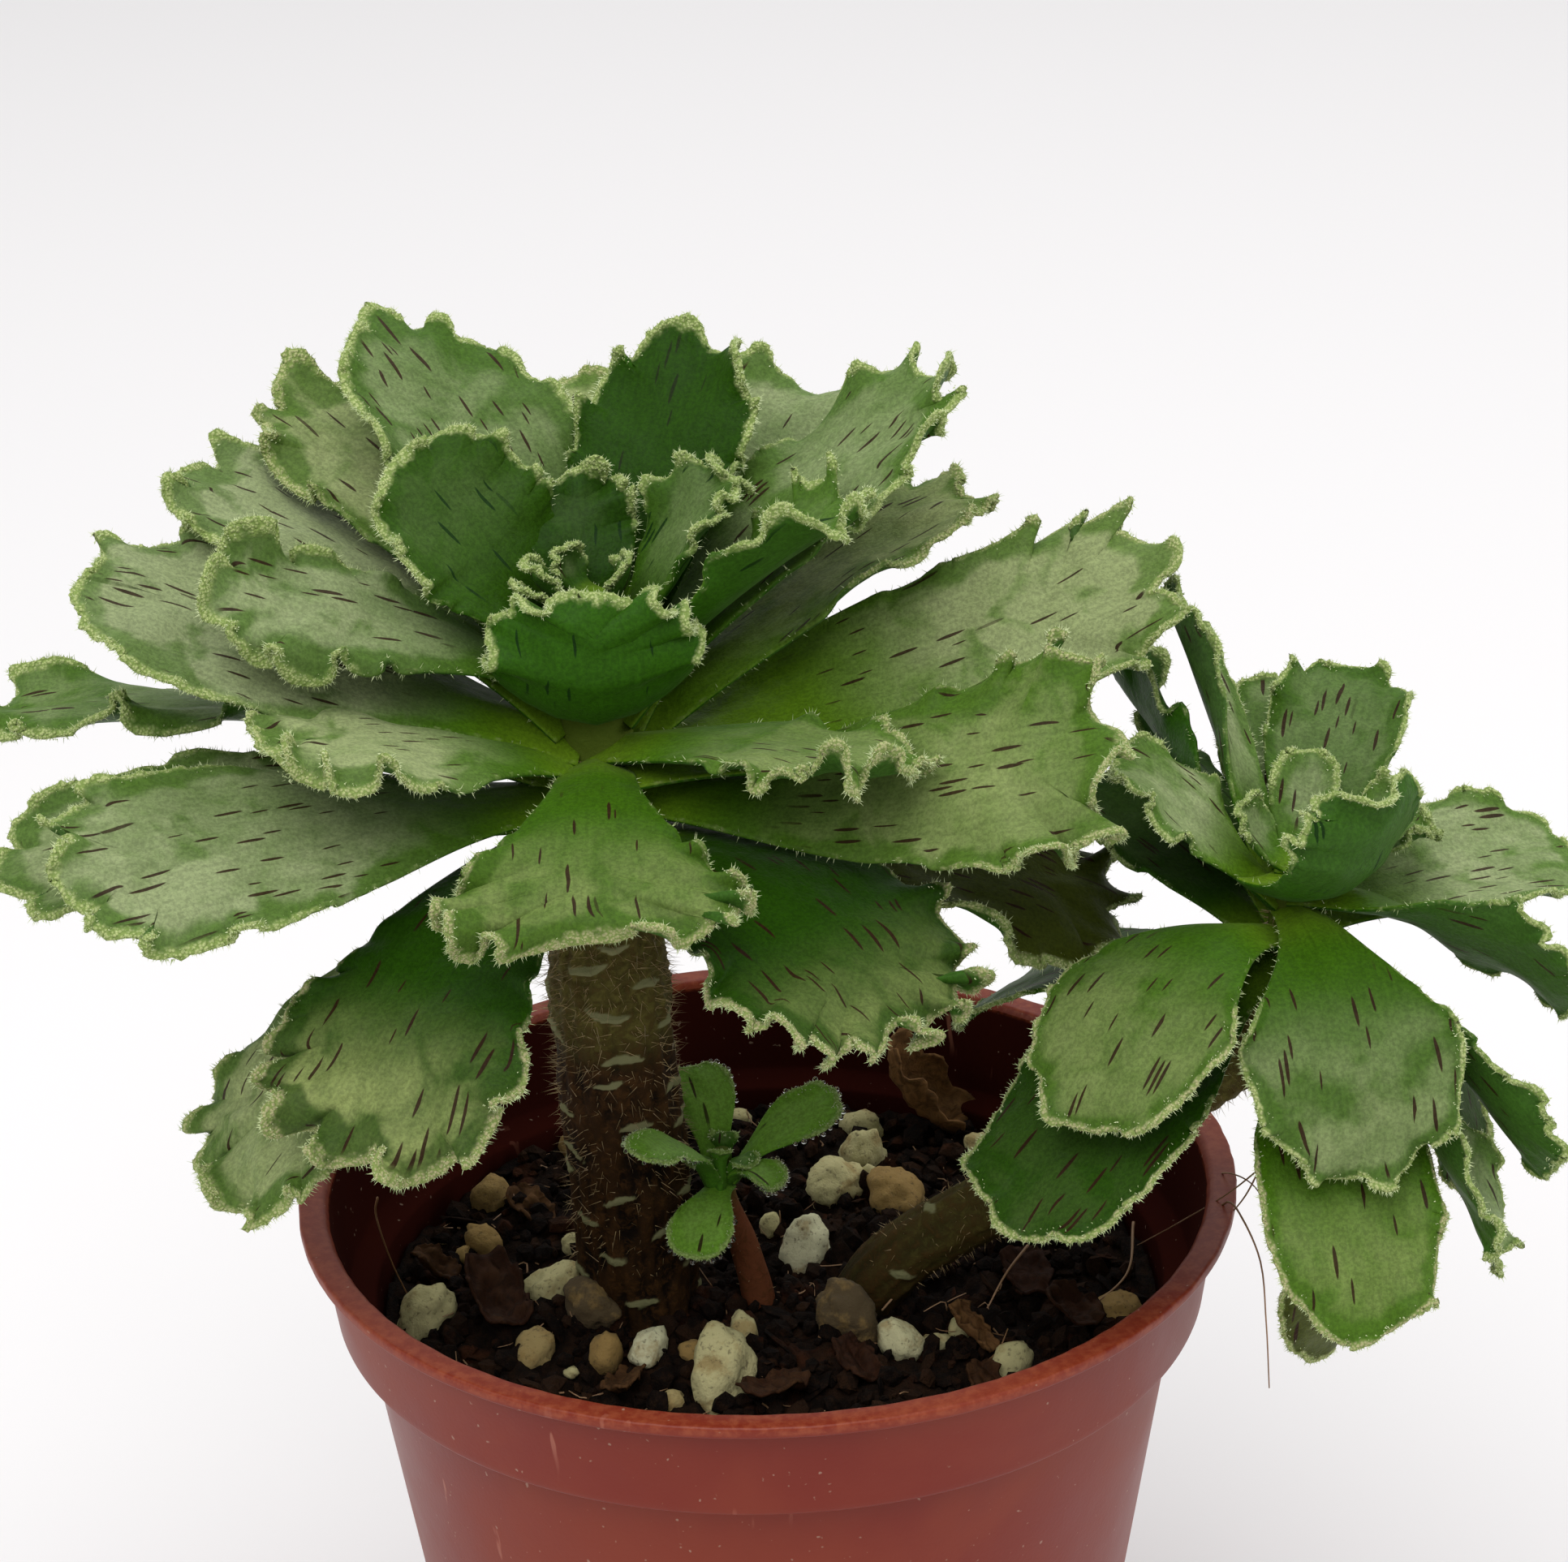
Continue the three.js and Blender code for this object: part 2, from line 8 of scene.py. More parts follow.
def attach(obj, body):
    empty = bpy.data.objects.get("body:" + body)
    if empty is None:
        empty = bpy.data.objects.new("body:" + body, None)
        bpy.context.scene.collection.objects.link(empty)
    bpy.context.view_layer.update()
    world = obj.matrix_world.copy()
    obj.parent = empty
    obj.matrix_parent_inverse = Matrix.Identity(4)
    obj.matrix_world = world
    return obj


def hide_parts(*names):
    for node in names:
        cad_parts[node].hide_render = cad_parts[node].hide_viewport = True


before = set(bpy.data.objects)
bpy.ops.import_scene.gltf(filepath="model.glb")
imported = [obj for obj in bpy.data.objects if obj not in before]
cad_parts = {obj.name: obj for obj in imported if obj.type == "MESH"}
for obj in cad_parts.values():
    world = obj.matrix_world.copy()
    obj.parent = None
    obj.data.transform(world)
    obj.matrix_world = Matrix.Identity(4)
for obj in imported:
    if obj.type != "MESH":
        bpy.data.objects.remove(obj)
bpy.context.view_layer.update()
mm = 0.001
fullTurn = 2 * math.pi
print("frame loaded,", len(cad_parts), "nodes")


# Camera, in front of the pot and looking down on it
cameraView = dict(place=(0.00249, -0.36711, 0.28555), tiltDown=24.31, roll=-1.356, lens=99.84)


def linkNew(name, data):
    obj = bpy.data.objects.new(name, data)
    bpy.context.scene.collection.objects.link(obj)
    return obj


camData = bpy.data.cameras.new("photoCamera")
camData.lens = cameraView["lens"]
camData.sensor_width = 36
camData.clip_start = 0.01
camObj = linkNew("photoCamera", camData)
camObj.matrix_world = (
    Matrix.Translation(cameraView["place"])
    @ Matrix.Rotation(math.radians(90 - cameraView["tiltDown"]), 4, "X")
    @ Matrix.Rotation(math.radians(cameraView["roll"]), 4, "Z")
)
bpy.context.scene.camera = camObj
bpy.context.scene.view_settings.view_transform = "Standard"
print("camera set")


class Paint:  # one material, which keeps the colour and the bumps that it has so far
    def __init__(self, name, color):
        self.material = bpy.data.materials.new(name)
        self.material.use_nodes = True
        self.tree = self.material.node_tree
        self.where = self.add("TexCoord", {}).outputs["Object"]
        self.color = color
        self.normal = None

    def add(self, kind, values, **settings):
        node = self.tree.nodes.new("ShaderNode" + kind)
        for key, value in settings.items():
            setattr(node, key, value)
        return self.fill(node, values)

    def fill(self, node, values):  # another node's output is linked, and any other value is set
        for key, value in values.items():
            if isinstance(value, bpy.types.NodeSocket):
                self.tree.links.new(value, node.inputs[key])
            else:
                node.inputs[key].default_value = value
        return node

    def calc(self, kind, first, second):
        return self.add("Math", {0: first, 1: second}, operation=kind).outputs[0]

    def times(self, first, second):
        return self.calc("MULTIPLY", first, second)

    def ramp(self, value, low, high, start=0.0, end=1.0):
        values = {"Value": value, "From Min": low, "From Max": high, "To Min": start, "To Max": end}
        return self.add("MapRange", values, interpolation_type="SMOOTHSTEP").outputs[0]

    def mix(self, share, first, second, blend="MIX"):
        values = {0: share, 6: first, 7: second}  # the colour sockets of a mix
        return self.fill(self.add("Mix", {}, data_type="RGBA", blend_type=blend), values).outputs[2]

    def cover(self, share, color, blend="MIX"):
        self.color = self.mix(share, self.color, color, blend)

    def noise(self, scale, detail=2.0, rough=0.5, warp=0.0, where=None):
        values = {"Vector": where or self.where, "Scale": scale, "Detail": detail, "Roughness": rough}
        return self.add("TexNoise", {**values, "Distortion": warp}).outputs[0]

    def bump(self, height, depth, strength=1.0):  # over the bumps so far
        values = {"Height": height, "Distance": depth * mm, "Strength": strength}
        if self.normal:
            values["Normal"] = self.normal
        self.normal = self.add("Bump", values).outputs["Normal"]

    def split(self, vector):
        return self.add("SeparateXYZ", {0: vector}).outputs[:3]

    def join(self, *values):
        return self.add("CombineXYZ", dict(enumerate(values))).outputs[0]

    def read(self, name, output="Fac"):  # an attribute of the mesh
        return self.add("Attribute", {}, attribute_name=name).outputs[output]

    def finish(self, roughness, values):
        if self.normal:
            values["Normal"] = self.normal
        shader = self.tree.nodes["Principled BSDF"]
        self.fill(shader, {"Base Color": self.color, "Roughness": roughness, **values})
        return self.material


def rgb(red, green, blue):
    return (red, green, blue, 1.0)


# Mesh helpers
def pick(*objs):
    bpy.ops.object.select_all(action="DESELECT")
    for obj in objs:
        obj.select_set(True)
    if objs:
        bpy.context.view_layer.objects.active = objs[0]


def nameIt(obj, name):
    obj.name = obj.data.name = name
    return obj


def added(name):  # names what an operator has just added
    return nameIt(bpy.context.object, name)


def placesOf(mesh):
    flat = np.empty(len(mesh.vertices) * 3, np.float32)
    mesh.vertices.foreach_get("co", flat)
    return flat.reshape(-1, 3).astype(float)


def setPlaces(mesh, places):
    mesh.vertices.foreach_set("co", np.ascontiguousarray(places, np.float32).ravel())
    mesh.update()


def saveAttribute(mesh, name, values):
    kind, field = ("FLOAT", "value") if values.ndim == 1 else ("FLOAT_VECTOR", "vector")
    layer = mesh.attributes.new(name, kind, "POINT")
    layer.data.foreach_set(field, np.ascontiguousarray(values, np.float32).ravel())


def addGrid(name, places, **attributes):  # a grid with the place and attributes of each column and row
    columns, rows = places.shape[0] - 1, places.shape[1] - 1
    pick()
    bpy.ops.mesh.primitive_grid_add(x_subdivisions=columns, y_subdivisions=rows, size=1)
    obj = added(name)
    flat = placesOf(obj.data)
    column = np.rint((flat[:, 0] + 0.5) * columns).astype(int)
    row = np.rint((flat[:, 1] + 0.5) * rows).astype(int)
    setPlaces(obj.data, places[column, row] * mm)
    for label, values in attributes.items():
        saveAttribute(obj.data, label, values[column, row])
    return obj


def addBall(name, subdivisions):
    pick()
    bpy.ops.mesh.primitive_ico_sphere_add(subdivisions=subdivisions, radius=1)
    return added(name)


def smooth(obj):
    pick(obj)
    bpy.ops.object.shade_smooth()
    return obj


def closeShell(obj, gap=0.004 * mm):  # joins the seams, fills the ends and faces all outwards
    pick(obj)
    bpy.ops.object.mode_set(mode="EDIT")
    bpy.ops.mesh.select_all(action="SELECT")
    bpy.ops.mesh.remove_doubles(threshold=gap)
    bpy.ops.mesh.fill_holes(sides=0)
    bpy.ops.mesh.select_all(action="SELECT")
    bpy.ops.mesh.normals_make_consistent(inside=False)
    bpy.ops.object.mode_set(mode="OBJECT")
    return smooth(obj)


def applyModifier(obj, kind, **settings):
    pick(obj)
    modifier = obj.modifiers.new("shaping", kind)
    for key, value in settings.items():
        setattr(modifier, key, value)
    bpy.ops.object.modifier_apply(modifier=modifier.name)


def shapeOf(obj):  # the points and faces of a piece that is there only to be copied
    base = placesOf(obj.data)
    faces = [tuple(face.vertices) for face in obj.data.polygons]
    bpy.data.objects.remove(obj)
    return base, faces


def copiesOf(source, name, axes, places, tones=None):  # a mesh of copies, each with its axes and place
    base, faces = source
    points = np.einsum("nij,pj->npi", axes * mm, base) + places[:, None, :] * mm
    mesh = bpy.data.meshes.new(name)
    count = len(base)
    allFaces = [tuple(i + count * k for i in face) for k in range(len(places)) for face in faces]
    mesh.from_pydata(points.reshape(-1, 3).tolist(), [], allFaces)
    if tones is not None:
        saveAttribute(mesh, "tone", np.repeat(tones, count))
    return linkNew(name, mesh)


def joinAll(name, objs):
    pick(*objs)
    bpy.ops.object.join()
    return nameIt(objs[0], name)


def dress(obj, *materials):
    obj.data.materials.clear()
    for material in materials:
        obj.data.materials.append(material)
    return obj


def place(obj, slotName, *nodes):
    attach(obj, "root")
    if nodes:
        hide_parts(*nodes)
    return obj


def ramp(value, low, high):
    share = np.clip((value - low) / (high - low), 0, 1)
    return share * share * (3 - 2 * share)


def lerp(first, second, share):
    return first + (second - first) * share


def stacked(*values):  # numbers side by side in the last axis
    return np.stack(np.broadcast_arrays(*values), -1)


def onRing(turn, radius):
    return np.cos(turn) * radius, np.sin(turn) * radius


def unit(vectors):
    return vectors / np.maximum(np.linalg.norm(vectors, axis=-1, keepdims=True), 1e-12)


def axesAlong(directions, widths, lengths):  # axes whose third one runs along each direction
    helper = np.where(np.abs(directions[:, 2:]) < 0.9, (0.0, 0.0, 1.0), (1.0, 0.0, 0.0))
    first = unit(np.cross(helper, directions))
    second = np.cross(directions, first)
    widths, lengths = widths[:, None], lengths[:, None]
    return np.stack([first * widths, second * widths, directions * lengths], axis=2)


def addHairs(name, ways, widths, lengths, roots, skin):
    return dress(copiesOf(spike, name, axesAlong(ways, widths, lengths), roots), skin)


# One hair, a thin closed cone on its base, to be copied
pick()
bpy.ops.mesh.primitive_cone_add(vertices=3, radius1=1, radius2=0, depth=1, location=(0, 0, 0.5))
bpy.ops.object.transform_apply(location=True, rotation=True, scale=True)
spike = shapeOf(added("hairSource"))


# Leaf materials
leafColors = dict(
    green=rgb(0.055, 0.14, 0.004),
    # deepGreen is partly painted shade, laid on by each leaf's deep
    deepGreen=rgb(0.016, 0.058, 0.001),
    frost=rgb(0.27, 0.325, 0.165),
    warmFrost=rgb(0.275, 0.325, 0.1),
    # yellow is partly painted light, spread over shaded leaf feet by a deep under 0
    yellow=rgb(0.16, 0.27, 0.012),
    under=rgb(0.024, 0.09, 0.002),
    margin=rgb(0.52, 0.62, 0.25),
    tanMargin=rgb(0.52, 0.47, 0.26),
    # crevice is painted shade for the gaps between the margin's beads, and also the darker tone of the hairs
    crevice=rgb(0.2, 0.3, 0.06),
    olive=rgb(0.075, 0.06, 0.006),
    dash=rgb(0.026, 0.006, 0.004),
    greenDash=rgb(0.006, 0.028, 0.003),
    hair=rgb(0.62, 0.7, 0.38),
)
leafMarks = dict(
    dashLength=1 / 4.6, dashWidth=1 / 0.6,  # cells per mm along and across the leaf
    dashShare=0.19, dashSize=0.35,
    patchSize=140, speckle=2800, beads=3300,
)


def leafSkinMaterial(name, c):
    marks = leafMarks
    p = Paint(name, c["green"])
    across, along, margin = p.split(p.read("blade", "Vector"))
    frosted, deep, tan = p.split(p.read("look", "Vector"))
    share, face, dashed = p.split(p.read("side", "Vector"))
    nearEdge = p.ramp(margin, 0.8, 5, 1, 0)
    patches = p.calc("ADD", p.noise(marks["patchSize"], 3, 0.55, 0.6), p.times(nearEdge, 0.23))

    # Partly painted shade: deep lays on the dark green, and it is set high on leaves that lie in shade
    p.cover(deep, c["deepGreen"])
    frost = p.times(frosted, p.ramp(p.noise(60, 3, 0.6), 0.3, 0.62, 0.55, 1.05))
    frost = p.times(frost, p.ramp(p.noise(330, 3, 0.6), 0.3, 0.65, 0.78, 1.1))
    frost = p.times(frost, p.ramp(p.ramp(patches, 0.46, 0.74), 0, 1, 1.08, 0.25))
    p.cover(frost, p.mix(tan, c["frost"], c["warmFrost"]))
    # Partly painted light: the yellow-green foot is the petiole's own colour, and a deep under 0 spreads it
    # over shaded feet
    petiole = p.times(p.ramp(share, 0.15, 0.7, 0.9, 0), p.ramp(deep, -1, 0, 1, 0))
    p.cover(p.calc("MAXIMUM", petiole, p.ramp(share, 0.02, 0.26, 0.6, 0)), c["yellow"])
    p.cover(p.ramp(deep, 1.2, 2), c["olive"])
    p.cover(p.ramp(face, -0.2, 0.2, 1, 0), p.mix(p.times(frosted, 0.12), c["under"], c["frost"]))

    # Dashes along the leaf, one in some of the cells of a stretched pattern
    cells = p.join(p.times(across, marks["dashWidth"]), p.times(along, marks["dashLength"]))
    voronoi = p.add("TexVoronoi", {"Vector": cells, "Scale": 1.0}, voronoi_dimensions="2D").outputs
    draw = p.split(voronoi["Color"])
    size = p.ramp(draw[1], 0, 1, marks["dashSize"] * 0.55, marks["dashSize"])
    dash = p.ramp(draw[0], marks["dashShare"], marks["dashShare"] + 0.01, 1, 0)
    dash = p.times(dash, p.ramp(p.calc("SUBTRACT", size, voronoi["Distance"]), 0, 0.07))
    dash = p.times(dash, p.ramp(share, 0.28, 0.42))
    dash = p.times(dash, p.ramp(margin, 0.7, 1.6))
    p.cover(p.times(dash, 0.92), p.mix(dashed, c["greenDash"], c["dash"]))

    # Felt, in streaks along the leaf
    grain = p.noise(marks["speckle"], 2, 0.7)
    lines = p.join(p.times(across, 1.7), p.times(along, 0.16))
    streaks = p.ramp(p.noise(1.0, 3, 0.6, where=lines), 0.3, 0.7, 0.92, 1.08)
    felt = p.times(streaks, p.ramp(grain, 0.3, 0.7, 0.82, 1.2))
    p.cover(1.0, p.join(felt, felt, felt), "MULTIPLY")

    # The crusty margin
    beads = p.add("TexVoronoi", {"Vector": p.where, "Scale": marks["beads"]}).outputs["Distance"]
    # Painted shade: the gaps between the beads are painted in the darker crevice green
    rim = p.mix(p.ramp(beads, 0.3, 0.65, 0, 0.8), p.mix(tan, c["margin"], c["tanMargin"]), c["crevice"])
    jitter = p.times(p.calc("SUBTRACT", p.noise(900), 0.5), 1.6)
    rimShare = p.ramp(p.calc("ADD", margin, jitter), 0.1, 0.95, 0.95, 0)
    p.cover(rimShare, rim)
    p.bump(grain, 0.08, 0.9)
    p.bump(p.times(rimShare, p.calc("SUBTRACT", 1, beads)), 0.3)
    p.bump(p.noise(420, 3), 0.3, 0.7)
    p.bump(p.noise(130), 2.4, 0.6)
    return p.finish(0.5, {
        "Specular IOR Level": 0.08, "Diffuse Roughness": 0.4,
        "Sheen Weight": 0.04, "Sheen Roughness": 0.4, "Sheen Tint": rgb(0.8, 1.0, 0.55),
    })


def hairMaterial(name, color, darker):
    p = Paint(name, color)
    p.cover(p.ramp(p.noise(300, 1), 0.35, 0.65, 0, 0.5), darker)
    return p.finish(0.35, {})


leafSkin = leafSkinMaterial("aeoniumLeaf", leafColors)
pupSkin = leafSkinMaterial("pupLeaf", dict(
    leafColors, green=rgb(0.16, 0.34, 0.03), margin=rgb(0.34, 0.52, 0.14), frost=rgb(0.25, 0.4, 0.1),
    deepGreen=rgb(0.04, 0.12, 0.008), under=rgb(0.07, 0.2, 0.015), yellow=rgb(0.1, 0.24, 0.02),
))
leafHair = hairMaterial("leafHair", leafColors["hair"], leafColors["crevice"])
print("leaf materials made")


# Deep is partly the leaf's own dark green and partly painted shade, set high on leaves that lie in shade; a
# deep under 0 partly paints light, as yellow-green, on a shaded foot.
# The leaves, in millimetres: name, the height they grow at, the place of the tip and the width. Arch lifts
# the middle of the midrib, turn tips the blade about it, cup lifts both edges and wave is how far they wave.
# Belly is how far along it is widest, neck how wide the foot is, wedge how straight it widens from there,
# blunt shapes the end, point draws it out and calm is the still side. Loops is how strong the quick curls
# are, pace how many there are, depth how near the edge they stay, pinch how tight they are and lobes how far
# they swing out. Frost is how grey it is, bare where that begins, deep how dark it is (2 is olive, and under
# 0 the foot is yellowish), tan how brown its margin is, rim how broad that is and dash how brown its dashes.
# Bead is half the thickness of the edge, hair how long its hairs are and columns how fine its mesh is.
tallCrown = dict(x=-14.6, y=-2.6, low=114, high=138, lowRadius=4.8, highRadius=2.2)
sideCrown = dict(x=48.4, y=-11, low=102, high=114, lowRadius=3.4, highRadius=1.8)
pupCrown = dict(x=-4.3, y=-2, low=77, high=82, lowRadius=1.3, highRadius=0.8)
leafUsual = dict(
    arch=1, turn=0, cup=0, belly=0.72, blunt=0.7, point=0, calm=None, neck=0.2, wedge=0, depth=7,
    pace=1.4, loops=0.45, pinch=0.6, lobes=0.01, rim=1, frost=0.9, bare=0.15, deep=0.15, tan=0.15,
    dash=1, skin=leafSkin,
)
tallUsual = dict(columns=300, thickness=2.2, bead=0.28, hair=1, rim=0.8, wave=2.5, pace=1.8)
sideUsual = dict(
    columns=220, thickness=1.8, bead=0.24, hair=0.9, rim=0.42, wave=1.8, loops=0.3, neck=0.15, frost=0.6,
)
pupUsual = dict(
    columns=90, thickness=1, bead=0.16, hair=0.4, rim=0.4, wave=0.3, loops=0.5, cup=0.5, frost=0.3,
    skin=pupSkin,
)
heartUsual = dict(columns=130, thickness=1.2, bead=0.26, hair=0.6, rim=0.6, wave=0.7, cup=1, arch=-1)


def leafRow(name, foot, tip, width, **more):
    return dict(name=name, foot=foot, tip=tip, width=width, **more)


# inner_left, back_dark, front_left and front_right are painted dark (a high deep, little frost, and bare far
# out on the front two) for the shade they lie in; right_long and back_low_right get a deep under 0, painted
# light on their shaded feet
tallLeaves = [
    leafRow("back_left", 133.3, (-33.5, 24, 157), 21, arch=2, turn=5, cup=1, wave=2.2, point=3, belly=0.6,
            blunt=1, frost=0.5, deep=0.4, loops=0.4, pace=1.9),
    leafRow("far_left", 130.7, (-43, 24, 150), 17, arch=2, turn=-8, cup=2, wave=2.8, point=2, blunt=0.9,
            tan=0.5, loops=0.3, pace=1.4),
    leafRow("back_middle", 124, (-13, 38, 146), 20, arch=2, cup=2, tan=0.6, pace=1.4),
    leafRow("back_dark", 131.4, (-5, 20, 156), 17, cup=2, wave=2.8, point=2, blunt=0.9, belly=0.7,
            frost=0, deep=0.95, loops=0.5, dash=0.3, pinch=0.3),
    leafRow("back_right", 127.5, (6, 29, 149.5), 17, turn=12, cup=2, wave=2.2, loops=0.3, pace=1.4),
    leafRow("right_high", 129.6, (18, 11, 155), 18, turn=5, cup=2, wave=3, loops=0.38, frost=0.55, pace=2),
    leafRow("right_behind", 125.5, (20, 18, 142), 17, turn=-5, cup=1, tan=0.6, loops=0.25,
            deep=-0.35, pace=1.4),
    leafRow("left_high", 128.3, (-52, 15, 146), 20, arch=2, turn=6, cup=1, loops=0.35, frost=1.5),
    leafRow("left_broad", 126, (-60, -3, 143), 21, arch=0, turn=-16, calm="left", loops=0.3, pace=2,
            frost=1.4),
    leafRow("left_curled", 131.3, (-48, -9, 143.5), 13, turn=-25, cup=1, wave=3.2, loops=0.85, deep=0.3,
            pace=2.1, pinch=0.3),
    leafRow("inner_left", 135.6, (-31, 1, 152), 17, arch=0, cup=2, wave=2, belly=0.62, frost=0.1,
            deep=0.8, dash=0, bare=0.3, loops=0.6, turn=-32, pace=2.2, neck=0.35),
    leafRow("inner_back", 136.5, (-16, 8, 147), 10, cup=1, point=1.5, frost=0.1, deep=1, dash=0,
            loops=0.5, neck=0.35, pinch=0.3),
    leafRow("inner_right", 136, (-2, 2, 149.5), 12, arch=0, cup=2, wave=2.2, frost=0.3, deep=0.6, dash=0,
            loops=0.7, pinch=0.3),
    leafRow("inner_cup", 130, (-14, -12, 143), 19, arch=-3, cup=4, wave=2.8, frost=0.05, deep=0.85,
            dash=0, depth=5, loops=0.5, lobes=0.012, pace=1.9, neck=0.42, wedge=0.8, belly=0.64,
            blunt=0.6, pinch=0),
    leafRow("right_upright", 132, (10, -6, 149), 13, turn=-10, cup=3, wave=3, frost=0.3, dash=0, depth=6,
            loops=0.6, pace=1.9, pinch=0.2, bare=0.3),
    leafRow("right_long", 123.6, (38, 9, 137), 19, arch=-2, turn=30, cup=1, wave=3.2, belly=0.84, tan=0.4,
            frost=1.25, bare=0.3, loops=0.32, wedge=1.9, pace=1.9, neck=0.46, pinch=0.2, deep=-0.45),
    leafRow("right_low", 120.8, (31, -18, 131), 22, arch=-2, turn=38, wave=3.5, belly=0.84, tan=0.65,
            frost=0.6, loops=0.62, wedge=1.5, pace=2.1),
    leafRow("right_front", 125.5, (13, -21, 129.5), 18, turn=-8, cup=1, wave=3.2, tan=0.6, frost=0.52,
            loops=0.68, pace=1.7, pinch=0.25),
    leafRow("left_front", 124.3, (-42, -20, 133), 20, turn=-4, wave=3, calm="right", tan=0.35, frost=1,
            loops=0.75, pace=2.2, pinch=0.4),
    leafRow("left_low", 120.5, (-60, -27, 124), 21, turn=-20, loops=0.3, frost=1),
    leafRow("left_under", 118.5, (-67, -17, 120), 20, arch=2, turn=-15, cup=1, wave=2.8, tan=0.2,
            loops=0.4, pace=1.4),
    leafRow("left_edge_on", 121.9, (-72, 8, 125), 17, arch=3, turn=15, cup=1, wave=3.2, frost=0.5,
            loops=0.6, pace=1.4),
    leafRow("front_fan", 124, (-14, -35, 121), 27, arch=3, wave=2.9, belly=0.86, wedge=2.5, tan=0.8,
            frost=0.46, bare=0.45, deep=0.4, loops=0.9, pace=2.1, neck=0.12, blunt=0.5, pinch=0.35),
    leafRow("front_left", 116.5, (-36, -35, 100), 25, arch=5, wave=3, frost=1.05, deep=1.08, bare=0.57,
            loops=0.75, wedge=1.7, belly=0.74, pace=2.3, blunt=0.85, tan=0.85),
    leafRow("front_left_under", 114, (-49, -22, 90), 22, arch=4, frost=1.05, loops=0.8, deep=0.4,
            wedge=1.9, belly=0.88, pace=1.7, tan=0.5),
    leafRow("front_right", 117, (13, -31, 109), 27, arch=4, wave=3, frost=0.52, deep=1.05, bare=0.63,
            loops=0.7, pace=2.3, wedge=1.15, belly=0.74, tan=0.9),
    leafRow("right_olive", 115.6, (34, -2, 105), 19, arch=4, turn=15, frost=0.05, deep=1.6, tan=0.4,
            loops=0.7, wedge=1.2),
    leafRow("back_low_right", 119, (5, 26, 124), 19, arch=2, cup=1, deep=-0.9, frost=0.1, pace=1.4),
    leafRow("back_low", 121, (-24, 37, 126), 20, arch=2, cup=1, pace=1.4),
]
sideLeaves = [
    leafRow("folded_high", 112.5, (39, 13, 133), 9, arch=0, turn=56, cup=2, frost=0.9),
    leafRow("folded_dark", 110.4, (32, 18, 126), 11, turn=60, cup=3, wave=3.5, frost=0.08, deep=0.8,
            dash=0.2, loops=0.6),
    leafRow("left_grey", 113, (33, -7, 124.5), 14, arch=0, cup=1, belly=0.6, loops=0.4, neck=0.14,
            deep=-0.3, frost=0.9),
    leafRow("left_shaded", 107.2, (32, 8, 115), 16, cup=2, wave=1.5, belly=0.6, frost=0.1, deep=0.9),
    leafRow("left_behind", 104.5, (20, 8, 91), 15, arch=3, wave=1.2, frost=0, deep=0.6),
    leafRow("front_left", 109, (28, -30, 99), 19.4, arch=6, wave=1.5, belly=0.6, frost=0.46, neck=0.09,
            loops=0.25, blunt=0.8, wedge=1.25, tan=0.7, bare=0.32, deep=0.4),
    leafRow("front_middle", 111.1, (53, -34, 95), 20, arch=5, wave=2.2, belly=0.58, frost=0.62, neck=0.09,
            wedge=1.5, loops=0.45, blunt=0.95, tan=0.3, bare=0.35, deep=0.5),
    leafRow("low_left", 106, (22, -30, 89), 21, arch=2, cup=1, wave=1.5, belly=0.6, frost=0.08, deep=1.25,
            bare=0.5, neck=0.12, tan=0.6),
    leafRow("low_middle", 104, (53, -40, 83), 16, arch=2, belly=0.58, frost=0.42, neck=0.12, loops=0.55,
            tan=0.8, bare=0.45),
    leafRow("low_brown", 102, (52, -16, 67), 14, arch=5, cup=-1, wave=1.5, frost=0.2, deep=1.6, tan=0.5),
    leafRow("right_edge_on", 112.3, (73, -20, 105), 14, arch=2, turn=-50, cup=1, wave=2.2, loops=0.4),
    leafRow("right_folded", 108.5, (70, -28, 92), 12, arch=1.5, turn=-50, cup=2, frost=0.5, deep=-0.7),
    leafRow("right_hanging", 106.5, (66, -30, 84), 14, turn=-40, cup=2, loops=0.45, deep=-0.6),
    leafRow("right_under", 105, (66, -5, 77), 12, arch=6, wave=1.2, frost=0.5),
    leafRow("upper_back", 111, (57, 14, 124), 13, cup=1, wave=2, frost=0.3, loops=0.4, deep=0.5, pace=1.9),
    leafRow("upper_behind", 108.6, (51, 18, 121), 13, cup=1, wave=1.2),
    leafRow("right_broad", 109, (76, 1, 110), 17, turn=10, cup=2, belly=0.6, frost=1.05, deep=-0.2),
    leafRow("inner_cup", 113.7, (55, -19, 126), 15, arch=-3, cup=3, wave=2.2, frost=0.4, deep=0.4, dash=0,
            depth=4, loops=0.45, lobes=0.012, neck=0.4, wedge=0.8, pinch=0, pace=1.9),
    leafRow("inner_right", 113.5, (61, -6, 117.5), 10, arch=0, cup=2, wave=2, loops=0.6),
]
pupLeaves = [
    leafRow("back", 80, (-7, 6, 87), 6),
    leafRow("right", 80, (7, 0, 86), 6, turn=20),
    leafRow("left", 79.5, (-12, -15, 89), 5, arch=2, turn=-20, cup=0),
    leafRow("front", 78.5, (-7, -12, 76), 6),
    leafRow("small", 80, (1, -6, 80), 4, wave=0.2),
]
tallHeart = [
    dict(foot=139, tip=(-20, -4, 143.5), width=5.5, deep=0.6),
    dict(foot=140, tip=(-17, -1, 144), width=4.5, deep=0.9),
    dict(foot=139, tip=(-11, -3, 143.5), width=5, deep=0.7),
    dict(foot=139, tip=(-21, -8, 142.5), width=4.5, deep=0.6),
]
sideHeart = [
    dict(foot=115, tip=(51, -1, 122), width=6),
    dict(foot=115, tip=(44, -9, 121), width=6),
    dict(foot=115, tip=(52, -15, 121), width=5),
]
